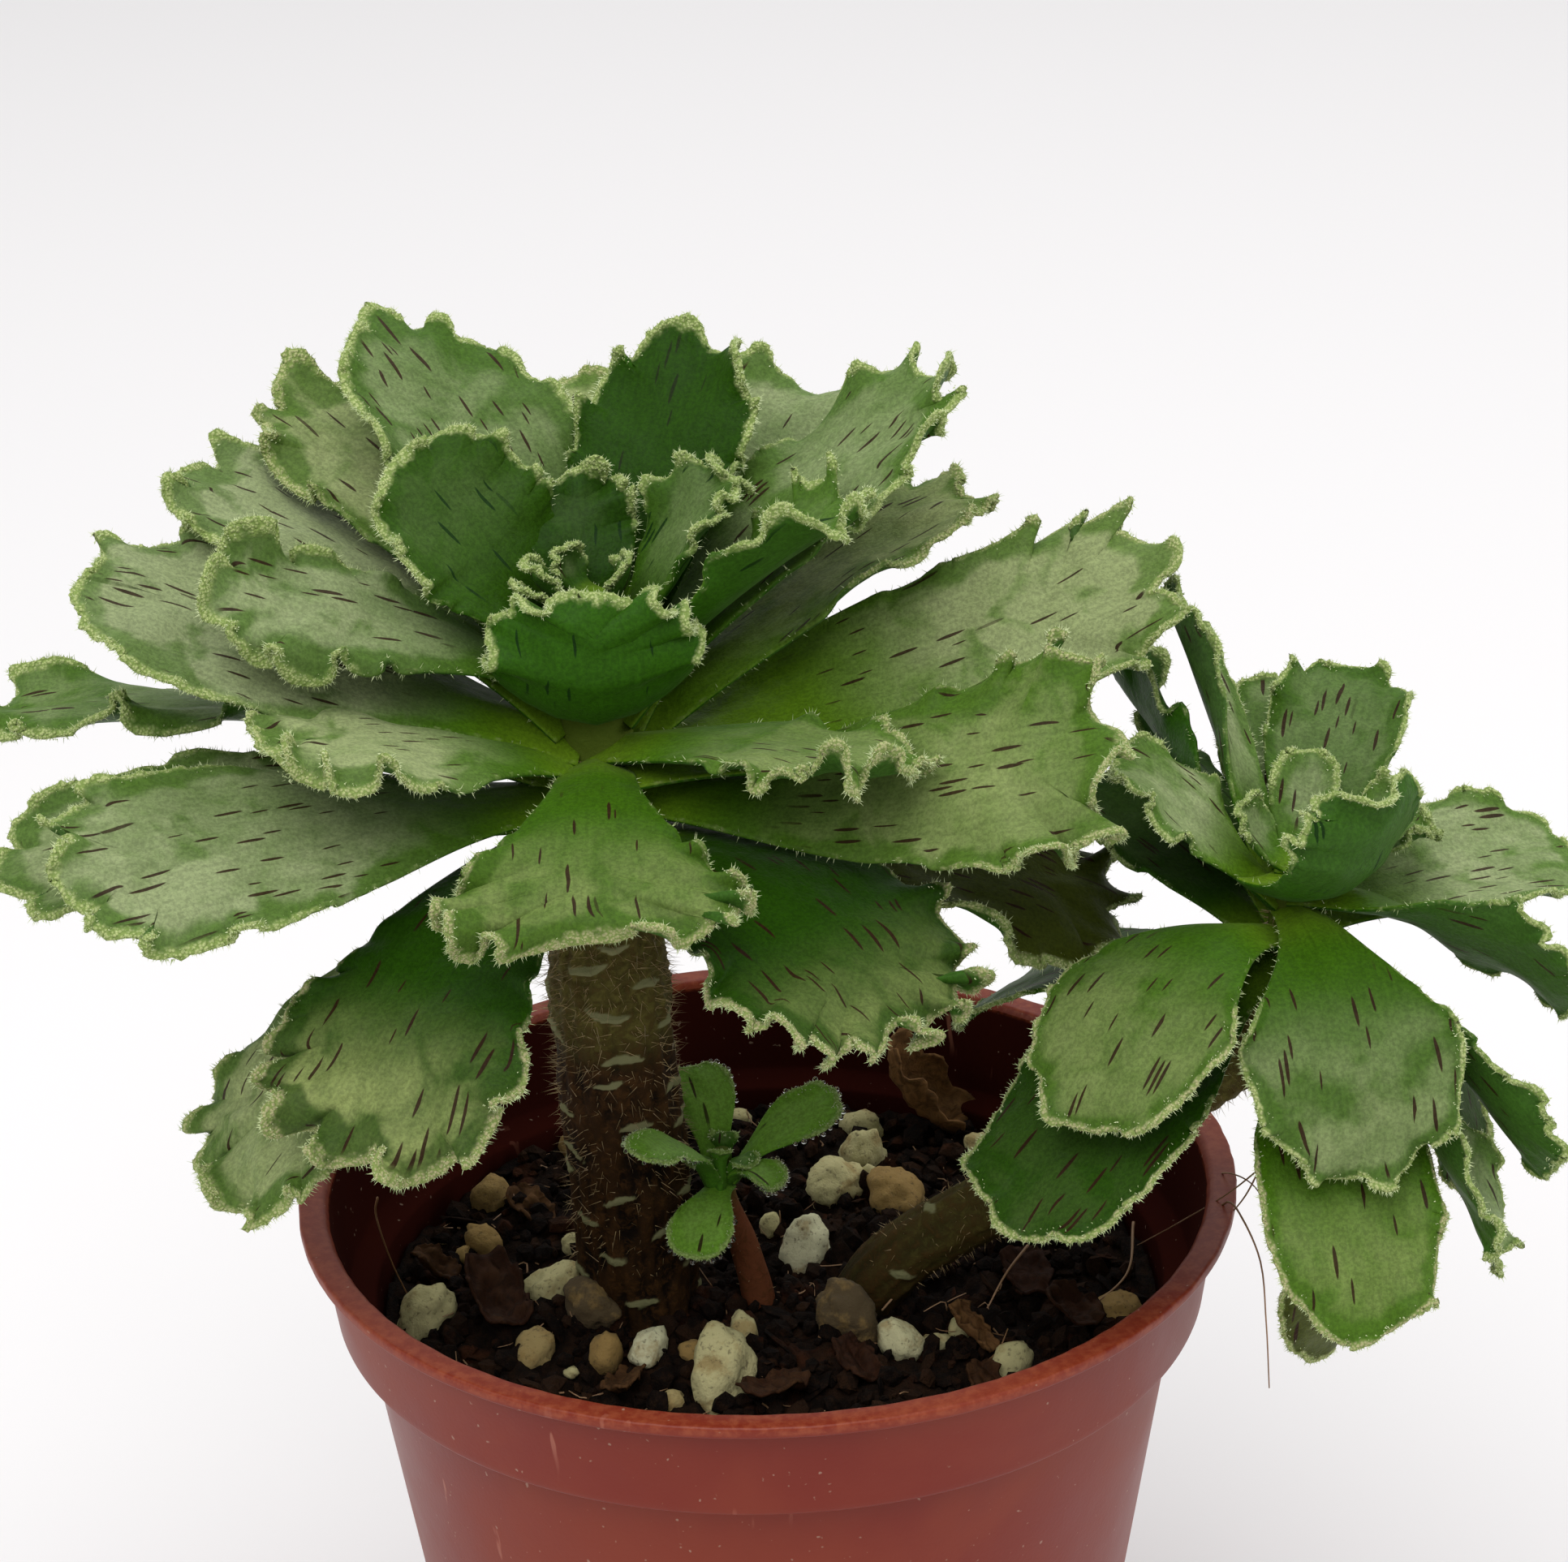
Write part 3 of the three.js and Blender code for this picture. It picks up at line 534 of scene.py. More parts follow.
pupHeart = [
    dict(foot=81, tip=(-7.5, -4.5, 82), width=3, arch=0.5, deep=0.9),
    dict(foot=81, tip=(-1.5, -4.5, 81.5), width=3, arch=0.5, deep=0.9),
    dict(foot=81, tip=(-4, 0.5, 82.5), width=2.6, arch=0.3, deep=1),
    dict(foot=81.5, tip=(-4.5, -4, 82.8), width=2, arch=0.2, wave=0.2, deep=1),
]

leafBuild = dict(
    clearance=0.3, rootLength=3.2, middleAt=0.45, archLift=2,
    widestAt=0.6, spineEnd=0.84,  # shares of the way round at the widest place, and of the length
    topRows=(0, 0.3, 0.52, 0.68, 0.8, 0.88, 0.94, 0.975, 1),
    beadAngles=(45, 0, -45),
    bottomRows=(1, 0.96, 0.88, 0.72, 0.4, 0),
    main=0.38, loop=0.95, ruffle=0.2, crinkle=0.08, pleat=0.5,  # shares of the waves and finer ruffles
    rufflePace=3.3, crinklePace=6.3, overhang=0.45,
    hairsPerMm=5, hairLength=0.58, hairWidth=0.045, fuzzPerMm=11, fuzzLength=0.26, hairSpots=400,
)


def fullLeaf(leaf, index, usual):
    waves = math.floor(4 + leaf["width"] * 0.15 + 0.5)
    return {"waves": waves, "seed": index + 1, **leafUsual, **usual, **leaf}


def ribOf(leaf, crown):  # the foot, the top of the arch, the tip and the way to the left of the midrib
    share = min(1, max(0, (leaf["foot"] - crown["low"]) / (crown["high"] - crown["low"])))
    radius = lerp(crown["lowRadius"], crown["highRadius"], share)
    axis = np.array([crown["x"], crown["y"], leaf["foot"]], float)
    tip = np.array(leaf["tip"], float)
    chord = tip - axis
    outward = unit(chord * (1, 1, 0))
    left = np.array([-outward[1], outward[0], 0])
    arch = np.cross(unit(chord), left) * leaf["arch"] * leafBuild["archLift"]
    rise = unit(chord * leafBuild["middleAt"] + arch)
    room = leaf["thickness"] * 0.58 * abs(rise[2]) + abs(leaf["turn"]) * 0.0045  # for a slanted foot
    foot = axis + outward * (radius + leafBuild["clearance"] + room)
    return foot, lerp(foot, tip, leafBuild["middleAt"]) + arch, tip, left


def climbOf(t):  # how far up from the foot towards the tip
    return 1 - np.abs(2 * t - 1)


def grownAt(t):  # no waves along the petiole
    return ramp(np.minimum(t, 1 - t), 0.15, 0.33)


def outlineOf(leaf, t):  # the spoon shape, for a share t of the way round it
    climb, widest, belly = climbOf(t), leafBuild["widestAt"], leaf["belly"]
    low = climb / widest
    flare = np.clip(low, 0, 1) ** leaf["wedge"] if leaf["wedge"] else ramp(low, 0.03, 1.02)
    swing = np.clip((climb - widest) / (1 - widest), 0, 1) * math.pi / 2
    highHalf = 0.5 * np.clip(np.cos(swing), 0, 1) ** leaf["blunt"]
    half = np.where(climb < widest, lerp(leaf["neck"], 0.5, flare), highHalf)
    high = belly + (1 - belly) * np.sin(swing) ** 0.8
    return np.where(t < 0.5, -half, half), np.where(climb < widest, belly * climb / widest, high)


def spineOf(leaf, t):  # the place on the midrib that the way round at t belongs to
    return outlineOf(leaf, t)[1] * leafBuild["spineEnd"]


def bladeAxes(leaf, rib, y):  # the ways across and up from the blade
    foot, middle, tip, left = rib
    y = y[..., None]
    along = unit((middle - foot) * (1 - y) + (tip - middle) * y)
    swing = math.radians(leaf["turn"]) * ramp(y, 0, 0.6)
    across = left * np.cos(swing) + np.cross(along, left) * np.sin(swing)
    across = across + along * (along @ left)[..., None] * (1 - np.cos(swing))
    return across, np.cross(along, across)


def bladePlace(leaf, rib, x, y, lift):
    foot, middle, tip = rib[:3]
    length = np.linalg.norm(tip - foot)
    root = leafBuild["rootLength"] * leaf["thickness"] / 2.2 / length  # the foot runs on into the stem
    y = y - root * np.clip(1 - y / 0.3, 0, 1) ** 2
    across, up = bladeAxes(leaf, rib, y)
    x, y, lift = (v[..., None] for v in (x, y, lift))
    spot = foot * (1 - y) ** 2 + middle * 2 * y * (1 - y) + tip * y**2
    return spot - across * x * leaf["width"] + up * (lift + leaf["cup"] * (2 * x) ** 2)


def sheetPoints(leaf, rib, t, out):  # the middle of the blade, for shares round and out from the midrib
    build, seed, wave, depth = leafBuild, leaf["seed"], leaf["wave"], leaf["depth"]
    still = np.where((t < 0.5) == (leaf["calm"] == "left"), 0.3, 1) if leaf["calm"] else 1
    grown = grownAt(t)

    def drift(size, pace, shift=1):  # a slow change round the leaf, so no two waves are alike
        return size * np.sin(pace * t + shift * seed)

    def uneven(size, pace, shift=1):
        return 1 - size + drift(size, pace, shift)

    phase = leaf["waves"] * fullTurn * t + seed * 1.7 + drift(0.9, 11)
    loopPhase = leaf["pace"] * phase + drift(1.1, 9)
    rufflePhase = build["rufflePace"] * phase + drift(1.2, 7, 3)
    tinyPhase = build["crinklePace"] * phase + drift(2, 13, 2)

    # How far each kind of wave lifts the blade
    slow = drift(0.4, 15, 3.1) * out**2
    quick = build["main"] * uneven(0.25, 7, 2) * np.sin(phase) * out**4
    loops = build["loop"] * leaf["loops"] * uneven(0.3, 17) * np.sin(loopPhase) * out**depth
    ruffle = build["ruffle"] * uneven(0.4, 23) * np.sin(rufflePhase) * out ** (depth + 3)
    tiny = build["crinkle"] * uneven(0.4, 29) * np.sin(tinyPhase) * out**14
    pleat = build["pleat"] * np.sin(loopPhase * 0.5 + 2 * seed) * np.sin(math.pi * np.clip(out, 0, 1)) ** 2
    lift = wave * grown * still * (slow + quick + loops + ruffle)
    lift = lift + min(wave, 2.5) * grown * (tiny + 0.3 * pleat)

    # How far they draw it along the edge, which makes loops of the waves
    curl = 0.2 * np.sin(2 * phase) * out**4
    pinched = build["overhang"] * np.sin(2 * loopPhase) * out - leaf["pinch"] * np.cos(loopPhase)
    curl = curl + min(1, leaf["loops"] * 1.4) / leaf["pace"] * pinched * out**depth
    curl = curl + 0.35 / build["rufflePace"] * np.sin(2 * rufflePhase) * out**9
    curl = curl + 0.3 / build["crinklePace"] * np.sin(2 * tinyPhase) * out**14
    around = t - grown * still * curl / (leaf["waves"] * fullTurn) * min(1, wave / 2)
    x, y = outlineOf(leaf, around)
    scallop = 1 + grown * still * leaf["lobes"] * wave * (np.sin(loopPhase + 1.2) + 0.3 * np.sin(rufflePhase))
    scallop = scallop + leaf["point"] / 40 * np.exp(-(((t - 0.5) / 0.03) ** 2))
    reach = lerp(1, scallop, out)
    return bladePlace(leaf, rib, x * out * reach, lerp(spineOf(leaf, t), y * reach, out), lift)


def sheetFrame(leaf, rib, t, out):  # the point, and the ways round the leaf, outwards and up from it
    turnStep, outStep = 2e-4, 0.01
    point = sheetPoints(leaf, rib, t, out)
    around = unit(sheetPoints(leaf, rib, t + turnStep, out) - sheetPoints(leaf, rib, t - turnStep, out))
    inner = np.maximum(out - outStep, 0)
    outwards = sheetPoints(leaf, rib, t, out + outStep) - sheetPoints(leaf, rib, t, inner)
    up = unit(np.cross(around, outwards))
    return point, around, np.cross(up, around), up


def addBlade(name, leaf, crown, rng):
    tops, beads, bottoms = (leafBuild[key] for key in ("topRows", "beadAngles", "bottomRows"))
    rib, columns = ribOf(leaf, crown), leaf["columns"]
    length = np.linalg.norm(rib[2] - rib[0])
    angles = np.radians(np.array((90,) * len(tops) + beads + (-90,) * len(bottoms), float))
    outs = np.array(tops + (1,) * len(beads) + bottoms, float)
    even = np.arange(columns + 1) / columns
    ts = even + 0.35 * np.sin(fullTurn * even) / fullTurn  # closer together towards the tip
    t, out = np.meshgrid(ts, outs, indexing="ij")
    point, around, outer, up = sheetFrame(leaf, rib, t, out)
    up[:, outs == 0] = bladeAxes(leaf, rib, spineOf(leaf, ts))[1][:, None, :]
    x, y = outlineOf(leaf, t)
    y = lerp(y * leafBuild["spineEnd"], y, out)
    thick = leaf["thickness"] / 2 * (1 - 0.45 * y + 0.5 * np.clip(1 - y / 0.25, 0, 1))
    half = lerp(thick, leaf["bead"], out**1.3)[..., None]
    crust = rng.normal(0, 1, (2, columns + 1)) * grownAt(ts)  # the lumpy crust of the margin
    crust[:, -1] = crust[:, 0]
    thicker = 1 + 0.2 * crust[0][:, None] * ramp(out, 0.93, 1)
    places = point + up * half * (np.sin(angles) * thicker)[..., None]
    places = places + outer * half * (np.cos(angles) * (1.1 + 0.35 * crust[1][:, None]))[..., None]
    toEdge = (1 - out) * np.hypot(x * leaf["width"], y * 0.16 * length)
    toEdge = toEdge / leaf["rim"] + 0.95 * ramp(climbOf(t), 0.66, 0.4)  # little crust along the petiole
    frost = leaf["frost"] * ramp(y, leaf["bare"], leaf["bare"] + 0.45)
    attributes = dict(  # what the leaf's material reads
        blade=stacked(x * out * leaf["width"] + 40 * leaf["seed"], y * length, toEdge),
        look=stacked(frost, leaf["deep"], leaf["tan"]),
        side=stacked(y, np.sign(angles), leaf["dash"]),
    )
    return closeShell(dress(addGrid(name, places, **attributes), leaf["skin"]))


def addEdgeHairs(name, leaf, crown, rng):
    build, rib = leafBuild, ribOf(leaf, crown)
    ts = np.linspace(0.02, 0.98, build["hairSpots"])
    line = sheetPoints(leaf, rib, ts, np.ones(len(ts)))
    steps = np.concatenate([[0], np.cumsum(np.linalg.norm(np.diff(line, axis=0), axis=1))])
    counts = [int(steps[-1] * build[kind]) for kind in ("hairsPerMm", "fuzzPerMm")]
    count = sum(counts)
    fuzz = np.arange(count) >= counts[0]
    t = np.interp(rng.uniform(0, steps[-1], count), steps, ts)
    climb = climbOf(t)
    kept = rng.random(count) < np.where(fuzz, ramp(climb, 0.45, 0.65), 0.3 + 0.7 * ramp(climb, 0.3, 0.6))
    t, fuzz, count = t[kept], fuzz[kept], int(kept.sum())
    point, along, outer, up = sheetFrame(leaf, rib, t, np.ones(count))
    angle = np.clip(rng.normal(0, np.where(fuzz, 1.3, 0.7), count), -1.9, 1.9)[:, None]
    radial = outer * np.cos(angle) + up * np.sin(angle)
    inwards = np.where(fuzz, 1, 0.1) * rng.uniform(0, 0.9, count) * (np.abs(angle[:, 0]) > 0.9)
    point = point - outer * inwards[:, None]
    way = radial + along * rng.normal(0, 0.3, count)[:, None] + up * rng.normal(0, 0.15, count)[:, None]
    length = np.where(fuzz, build["fuzzLength"], build["hairLength"] * leaf["hair"])
    length = length * rng.uniform(0.5, 1.25, count)
    width = np.where(fuzz, 1.6, 1) * build["hairWidth"]
    return addHairs(name, unit(way), width, length, point + radial * leaf["bead"] * 0.85, leafHair)


def camel(node):
    words = node.split("_")
    return words[0] + "".join(word.capitalize() for word in words[1:])


def addLeaf(node, leaf, crown, rng):
    name = camel(node)
    blade = addBlade(name, leaf, crown, rng)
    return joinAll(name, [blade, addEdgeHairs(name + "Hairs", leaf, crown, rng)])


def addRosette(prefix, leaves, crown, rng, usual):
    for index, row in enumerate(leaves):
        node = prefix + row["name"]
        place(addLeaf(node, fullLeaf(row, index, usual), crown, rng), "leaf", node)
    print(prefix, "made,", len(leaves), "leaves")


def addBuds(node, leaves, crown, rng, usual):
    rows = [(node + "_" + str(index), fullLeaf(row, index, usual)) for index, row in enumerate(leaves)]
    return joinAll(camel(node), [addLeaf(*row, crown, rng) for row in rows])


def addHeart(node, leaves, crown, rng, **usual):
    top = crown["high"]
    axis = dict(crown, low=top, high=top + 9, lowRadius=0, highRadius=0)
    place(addBuds(node, leaves, axis, rng, dict(heartUsual, **usual)), "leaf", node)


leafRng = np.random.default_rng(11)
addRosette("tall_leaf_", tallLeaves, tallCrown, leafRng, tallUsual)
addHeart("tall_heart", tallHeart, tallCrown, leafRng, frost=0.35)
addRosette("side_leaf_", sideLeaves, sideCrown, leafRng, sideUsual)
addHeart("side_heart", sideHeart, sideCrown, leafRng, frost=0.6)
addRosette("pup_leaf_", pupLeaves, pupCrown, leafRng, pupUsual)

# The tiny leaves in the middle of the young plant
place(addBuds("pup_heart", pupHeart, pupCrown, leafRng, dict(pupUsual, cup=0.4, columns=50)), "leaf")


# Dew along the edges of the young leaves
dew = dict(spacing=0.8 / 26, size=(0.13, 0.3), color=rgb(0.95, 1, 0.95))


def addDew(rng):
    spots, sizes = [], []
    for index, row in enumerate(pupLeaves):
        leaf = fullLeaf(row, index, pupUsual)
        t = np.arange(0.22, 0.78, dew["spacing"]) + rng.uniform(-0.01, 0.01)
        point, along, outer, up = sheetFrame(leaf, ribOf(leaf, pupCrown), t, np.ones(len(t)))
        size = rng.uniform(*dew["size"], len(t))
        spots.append(point + outer * (leaf["bead"] + size[:, None] * 0.7) - (0, 0, 0.1))
        sizes.append(size)
    axes = np.eye(3) * np.concatenate(sizes)[:, None, None]
    drops = smooth(copiesOf(shapeOf(addBall("dropSource", 2)), "dewDrops", axes, np.concatenate(spots)))
    p = Paint("water", dew["color"])
    p.bump(p.noise(2500, 1), 0.02, 0.3)
    return place(dress(drops, p.finish(0.02, {"IOR": 1.33, "Transmission Weight": 1.0})), "leaf")


addDew(leafRng)
print("young plant made")


# Pot
potShape = dict(
    sides=216, sharp=0.32, wobble=0.22, rimWobble=0.05, bevelOver=18, smoothUnder=40,
    outside=[  # radius, height
        (28.5, 0), (29.5, 1), (29.7, 2.2), (39.35, 65.2), (39.5, 66.2), (42, 67), (42.1, 67.8), (43.27, 76),
        (43.4, 76.8), (45, 76.8), (45, 78),
    ],
    inside=[
        (42.6, 78), (42.1, 77.2), (40.85, 68.8), (40.7, 67.9), (38.2, 67), (38.05, 66), (28.2, 2),
        (27.2, 1.3),
    ],
    height=78, lipFrom=76.5, wornFrom=76.9, wornTo=77.4, innerTop=77.2,
    drainRadius=3, drainCircle=19, drains=6,
)
potColors = dict(
    # inner is painted shade: the same plastic, painted near black for the inside of the pot
    body=rgb(0.172, 0.0135, 0.004), worn=rgb(0.28, 0.058, 0.022), inner=rgb(0.035, 0.005, 0.003),
    scratch=rgb(0.5, 0.2, 0.13), dust=rgb(0.42, 0.3, 0.22),
)


def potMaterial(name, body, roughest, gleam):
    c = potColors
    p = Paint(name, body)
    flow = p.noise(35, 4, 0.6, 0.4)
    p.cover(p.times(p.ramp(flow, 0.35, 0.7, 0, 1.2), gleam), c["worn"])
    onLip = p.ramp(p.split(p.where)[2], potShape["wornFrom"] * mm, potShape["wornTo"] * mm)
    p.cover(p.times(onLip, p.ramp(p.noise(900, 3, 0.7), 0.35, 0.7, 0.1, 0.85)), c["worn"])
    stretched = p.add("Mapping", {"Vector": p.where, "Scale": (1, 1, 0.12)}).outputs[0]
    lines = p.ramp(p.noise(700, 2, 0.4, 0.2, stretched), 0.69, 0.74)
    scratch = p.times(lines, p.ramp(p.noise(50), 0.5, 0.65))
    p.cover(p.times(scratch, 0.45), c["scratch"])
    p.cover(p.ramp(p.noise(1500, 1, 0.4), 0.74, 0.8, 0, 0.5), c["dust"])
    p.bump(p.noise(2200), 0.03, 0.5)
    p.bump(scratch, 0.03, 0.4)
    p.bump(p.noise(90), 0.5, 0.35)
    return p.finish(p.ramp(flow, 0.3, 0.7, roughest - 0.14, roughest), {"Specular IOR Level": gleam})


def addPot():
    pot = potShape
    profile = pot["outside"] + pot["inside"]
    pick()
    radius, height = profile[0]
    bpy.ops.mesh.primitive_circle_add(vertices=pot["sides"], radius=radius * mm, fill_type="NGON")
    potObj = added("potWithLip")
    bpy.ops.object.mode_set(mode="EDIT")
    bpy.ops.mesh.select_all(action="SELECT")
    for nextRadius, nextHeight in profile[1:]:  # up the outside, over the lip and down to the floor
        climb = (0, 0, (nextHeight - height) * mm)
        bpy.ops.mesh.extrude_region_move(TRANSFORM_OT_translate={"value": climb})
        grow = nextRadius / radius
        bpy.ops.transform.resize(value=(grow, grow, 1), center_override=(0, 0, nextHeight * mm))
        radius, height = nextRadius, nextHeight
    bpy.ops.mesh.select_all(action="SELECT")
    bpy.ops.mesh.normals_make_consistent(inside=False)
    bpy.ops.object.mode_set(mode="OBJECT")
    applyModifier(potObj, "BEVEL", width=pot["sharp"] * mm, segments=3, limit_method="ANGLE",
                  angle_limit=math.radians(pot["bevelOver"]))
    drains = []
    for i in range(pot["drains"]):
        x, y = onRing((i + 0.5) / pot["drains"] * fullTurn, pot["drainCircle"] * mm)
        size = dict(radius=pot["drainRadius"] * mm, depth=10 * mm)
        bpy.ops.mesh.primitive_cylinder_add(vertices=32, location=(x, y, 0), **size)
        drains.append(bpy.context.object)
    drill = joinAll("drainDrill", drains)
    applyModifier(potObj, "BOOLEAN", operation="DIFFERENCE", object=drill, solver="EXACT")
    bpy.data.objects.remove(drill)

    # A moulded pot is never quite round
    places = placesOf(potObj.data)
    turn = np.arctan2(places[:, 1], places[:, 0])
    sway = pot["wobble"] * mm * (places[:, 2] / (pot["height"] * mm))
    sway = sway * (np.sin(2 * turn + 0.8) + 0.4 * np.sin(5 * turn))
    rim = ramp(places[:, 2], pot["lipFrom"] * mm, pot["height"] * mm)
    rim = rim * pot["rimWobble"] * mm * np.sin(60 * turn + 3 * np.sin(7 * turn))
    places[:, :2] += stacked(*onRing(turn, sway + rim))
    setPlaces(potObj.data, places)
    bpy.ops.object.shade_smooth_by_angle(angle=math.radians(pot["smoothUnder"]))
    outer = potMaterial("brickPlastic", potColors["body"], 0.5, 0.27)
    # Painted shade: the inside of the pot gets the same plastic in a much darker colour
    inner = potMaterial("shadedInnerPlastic", potColors["inner"], 1, 0.04)
    dress(potObj, outer, inner)
    for face in potObj.data.polygons:  # the inner side faces the axis or looks up
        inwards = face.center.xy.dot(face.normal.xy) < -0.001 * mm or face.normal.z > 0.3
        face.material_index = int(inwards and face.center.z < pot["innerTop"] * mm)
    return place(potObj, "pot_plastic", "pot")


addPot()
print("pot made")


# Soil
soilShape = dict(
    level=65, radius=37.55, footRadius=27.2, sectors=200, rings=84,
    sideHeights=(62, 45, 20, 1.7),  # of the rings down the side to the foot
    crumbs=450, crumbKinds=4, crumbSize=(0.3, 1.7), chips=160, chipSize=(0.9, 2.7),
    crumbShape=(0.34, (1, 0.8, 0.65)), chipShape=(0.3, (1, 0.55, 0.14)),  # how rough, and how squashed
    grainShape=(0.27, (1.1, 0.85, 0.74)), fineGrain=4.4,
    fibres=220, fibreGrid=(4, 5), threadGrid=(6, 26), leafGrid=(22, 18), leafThickness=0.28,
)
soilColors = dict(
    dark=rgb(0.005, 0.0025, 0.0015), brown=rgb(0.028, 0.012, 0.005), rust=rgb(0.06, 0.018, 0.006),
    pumice=rgb(0.54, 0.49, 0.24), white=rgb(0.68, 0.66, 0.42), ochre=rgb(0.32, 0.2, 0.06),
    grime=rgb(0.09, 0.06, 0.025), flake=rgb(0.035, 0.012, 0.005), flakeLight=rgb(0.22, 0.11, 0.04),
    fibre=rgb(0.42, 0.25, 0.14),
)
pumiceSpots = [  # x, y, size, tone: 0 grimy, 1 ochre, 2 cream, 3 white
    (-21.1, -1.4, 5.7, 2), (-35, -4.7, 5.3, 2), (-11.5, -13.1, 3.9, 3), (-4.6, -18, 6.4, 2.3),
    (-2.6, -10.6, 3, 2), (-19.5, 7.2, 2.4, 2), (9.8, 30.7, 3.4, 2.2), (9.7, 25.3, 4.7, 2.3),
    (10.6, 20.4, 3.1, 2), (6.8, 18.1, 5.8, 2.2), (0, 10.3, 2.4, 2), (3.5, 4.9, 5, 3),
    (12.2, -11.4, 4.2, 2.6), (15.6, -10.4, 2.7, 2.4), (18.4, -9.2, 2.5, 2),
    (22.8, -16.1, 3.6, 2), (-3.1, 34, 2.5, 2), (-19, -14.7, 1.4, 2), (-32.7, 11, 1, 2),
    (-28.3, 18.1, 4.1, 1.2), (-28.6, 9.2, 3.6, 1), (-30.5, 7.5, 2, 1.2), (-22.5, -11.2, 3.8, 1.4),
    (-15.7, -13.3, 3.7, 1.1), (-7, -13.3, 3.2, 0.9), (-9.2, -19.5, 2.4, 1.5), (12.8, 16.6, 6, 1),
    (33.6, -5.6, 4.5, 1), (-17.2, -6.7, 5, 0.3), (7.3, -8.1, 6, 0.2), (28, 12, 3.5, 1), (-8, 22, 3.4, 1.6),
    (22, 24, 3.2, 2), (-20, 27, 3, 1), (31, -14, 2.2, 1.2), (-6, -27, 2.6, 0.6), (5, -25, 2.2, 1.1),
]
# x, y, height, length, width, curl in degrees, turn and tilt in degrees, tone
dryLeaves = [
    (-26.4, -4.5, 67.4, 10, 7, 150, 20, 15, 0.1), (14.8, 31.5, 69, 12, 11, 190, 80, 50, 0.9),
    (18.9, -12, 67.3, 6, 4, 220, 50, 35, 0.6), (25, -1, 66.8, 7, 5, 70, 10, 10, 0),
    (29, -8, 67, 6, 5, 90, 60, 20, 0.1), (0, -21, 66.8, 8, 4, 90, 130, 12, 0.15),
    (-33, 3, 67, 5, 4, 120, 70, 25, 0.3), (8, -16, 66.6, 6, 4, 80, 30, 15, 0.05),
    (-14, -19, 66.6, 6, 3.5, 110, 160, 10, 0.35), (24, 8, 67, 7, 5, 130, 100, 30, 0.25),
    (-24, 14, 66.8, 6, 4, 100, 40, 20, 0.4), (20, -20, 66.5, 5, 3.5, 90, 15, 15, 0.2),
]
# Thin roots, with their thickness and the places they run through
rootThreads = [
    (0.12, [(48.4, -15, 92), (47.6, -12.6, 88), (46.5, -10.6, 84), (45.2, -9.4, 80), (43.9, -8, 77),
            (41, -4, 70)]),
    (0.1, [(40.5, 8, 68), (42.6, 2, 75), (44.4, -3.6, 79), (46.4, -7.6, 79.5), (48, -9, 76)]),
    (0.1, [(46.8, -6, 80.8), (44, -7.5, 79.3), (39.5, -4, 74), (36, 2, 68)]),
    (0.12, [(41, -2, 70), (43.6, -9, 79), (44.6, -12.4, 79), (46.2, -12.6, 75), (47.4, -9.6, 66),
            (48.2, -7, 57)]),
    (0.2, [(20.2, 5, 70), (15.1, -0.9, 68.4), (10.7, -6.4, 66.4)]),
    (0.16, [(35.7, 3.1, 70), (34.6, -2.9, 67.8), (31, -6.3, 66.2)]),
    (0.16, [(25.2, 0.8, 69), (22.9, -2.7, 68), (20.9, -5.8, 66)]),
    (0.12, [(-37.1, -6.1, 80), (-37.6, -4, 77), (-36.6, -2.6, 71), (-35, -2, 66)]),
]


def noiseAt(points, scale, shift=0.0):  # smooth noise of about -1 to 1 at each place
    spots = (points * scale + shift).reshape(-1, 3)
    return np.array([noise.noise(spot) for spot in spots]).reshape(points.shape[:-1])


def soilHeight(x, y):
    spots = stacked(x, y, 0.0)
    lumps = 1.5 * noiseAt(spots, 0.11, 2.1) + 1.0 * noiseAt(spots, 0.3, 5.3)
    lumps = lumps + 0.8 * noiseAt(spots, 0.8, 9.7) + 0.5 * noiseAt(spots, 1.9, 3.9)
    mound = 1.4 * np.exp(-((x + 12.5) ** 2 + (y + 2.6) ** 2) / 130)
    return soilShape["level"] + lumps + mound


def addSoilBed():
    bed = soilShape
    rings, sides = bed["rings"], bed["sideHeights"]
    column, row = np.indices((bed["sectors"] + 1, rings + len(sides) + 1))
    turn = column / bed["sectors"] * fullTurn
    out = np.minimum(row / rings, 1) * bed["radius"]
    x, y = onRing(turn, out)
    z = soilHeight(x, y)
    for step, height in enumerate(sides):
        under = row == rings + 1 + step
        share = (height - sides[-1]) / (bed["level"] - sides[-1])
        out = np.where(under, lerp(bed["footRadius"], bed["radius"] - 0.05, share), out)
        z = np.where(under, height, z)
    places = stacked(*onRing(turn, out), z)
    return closeShell(addGrid("soilBed", places, tone=0.5 + 0.5 * noiseAt(places, 0.6)))


def roughStone(name, subdivisions, shift, rough, squash):  # one lump of radius 1
    stone = addBall(name, subdivisions)
    ball = placesOf(stone.data)
    lump = 1 + rough * (noiseAt(ball, 0.9, shift) + 0.7 * noiseAt(ball, 2.1, shift + 4))
    if subdivisions > 2:
        lump += rough * (0.35 * np.abs(noiseAt(ball, 4, shift)) + 0.22 * noiseAt(ball, 9, shift))
    setPlaces(stone.data, ball * lump[:, None] * squash)
    return stone


def randomTurns(rng, count):  # a random rotation matrix for each of count pieces
    first = unit(rng.normal(size=(count, 3)))
    other = unit(np.cross(first, rng.normal(size=(count, 3))))
    return np.stack([first, other, np.cross(first, other)], axis=2)


def onSoil(rng, count, above):  # random places over the whole bed
    out = (soilShape["radius"] - 1.2) * np.sqrt(rng.uniform(0, 1, count))
    turn = rng.uniform(0, fullTurn, count)
    x, y = onRing(turn, out)
    return stacked(x, y, soilHeight(x, y) + above)


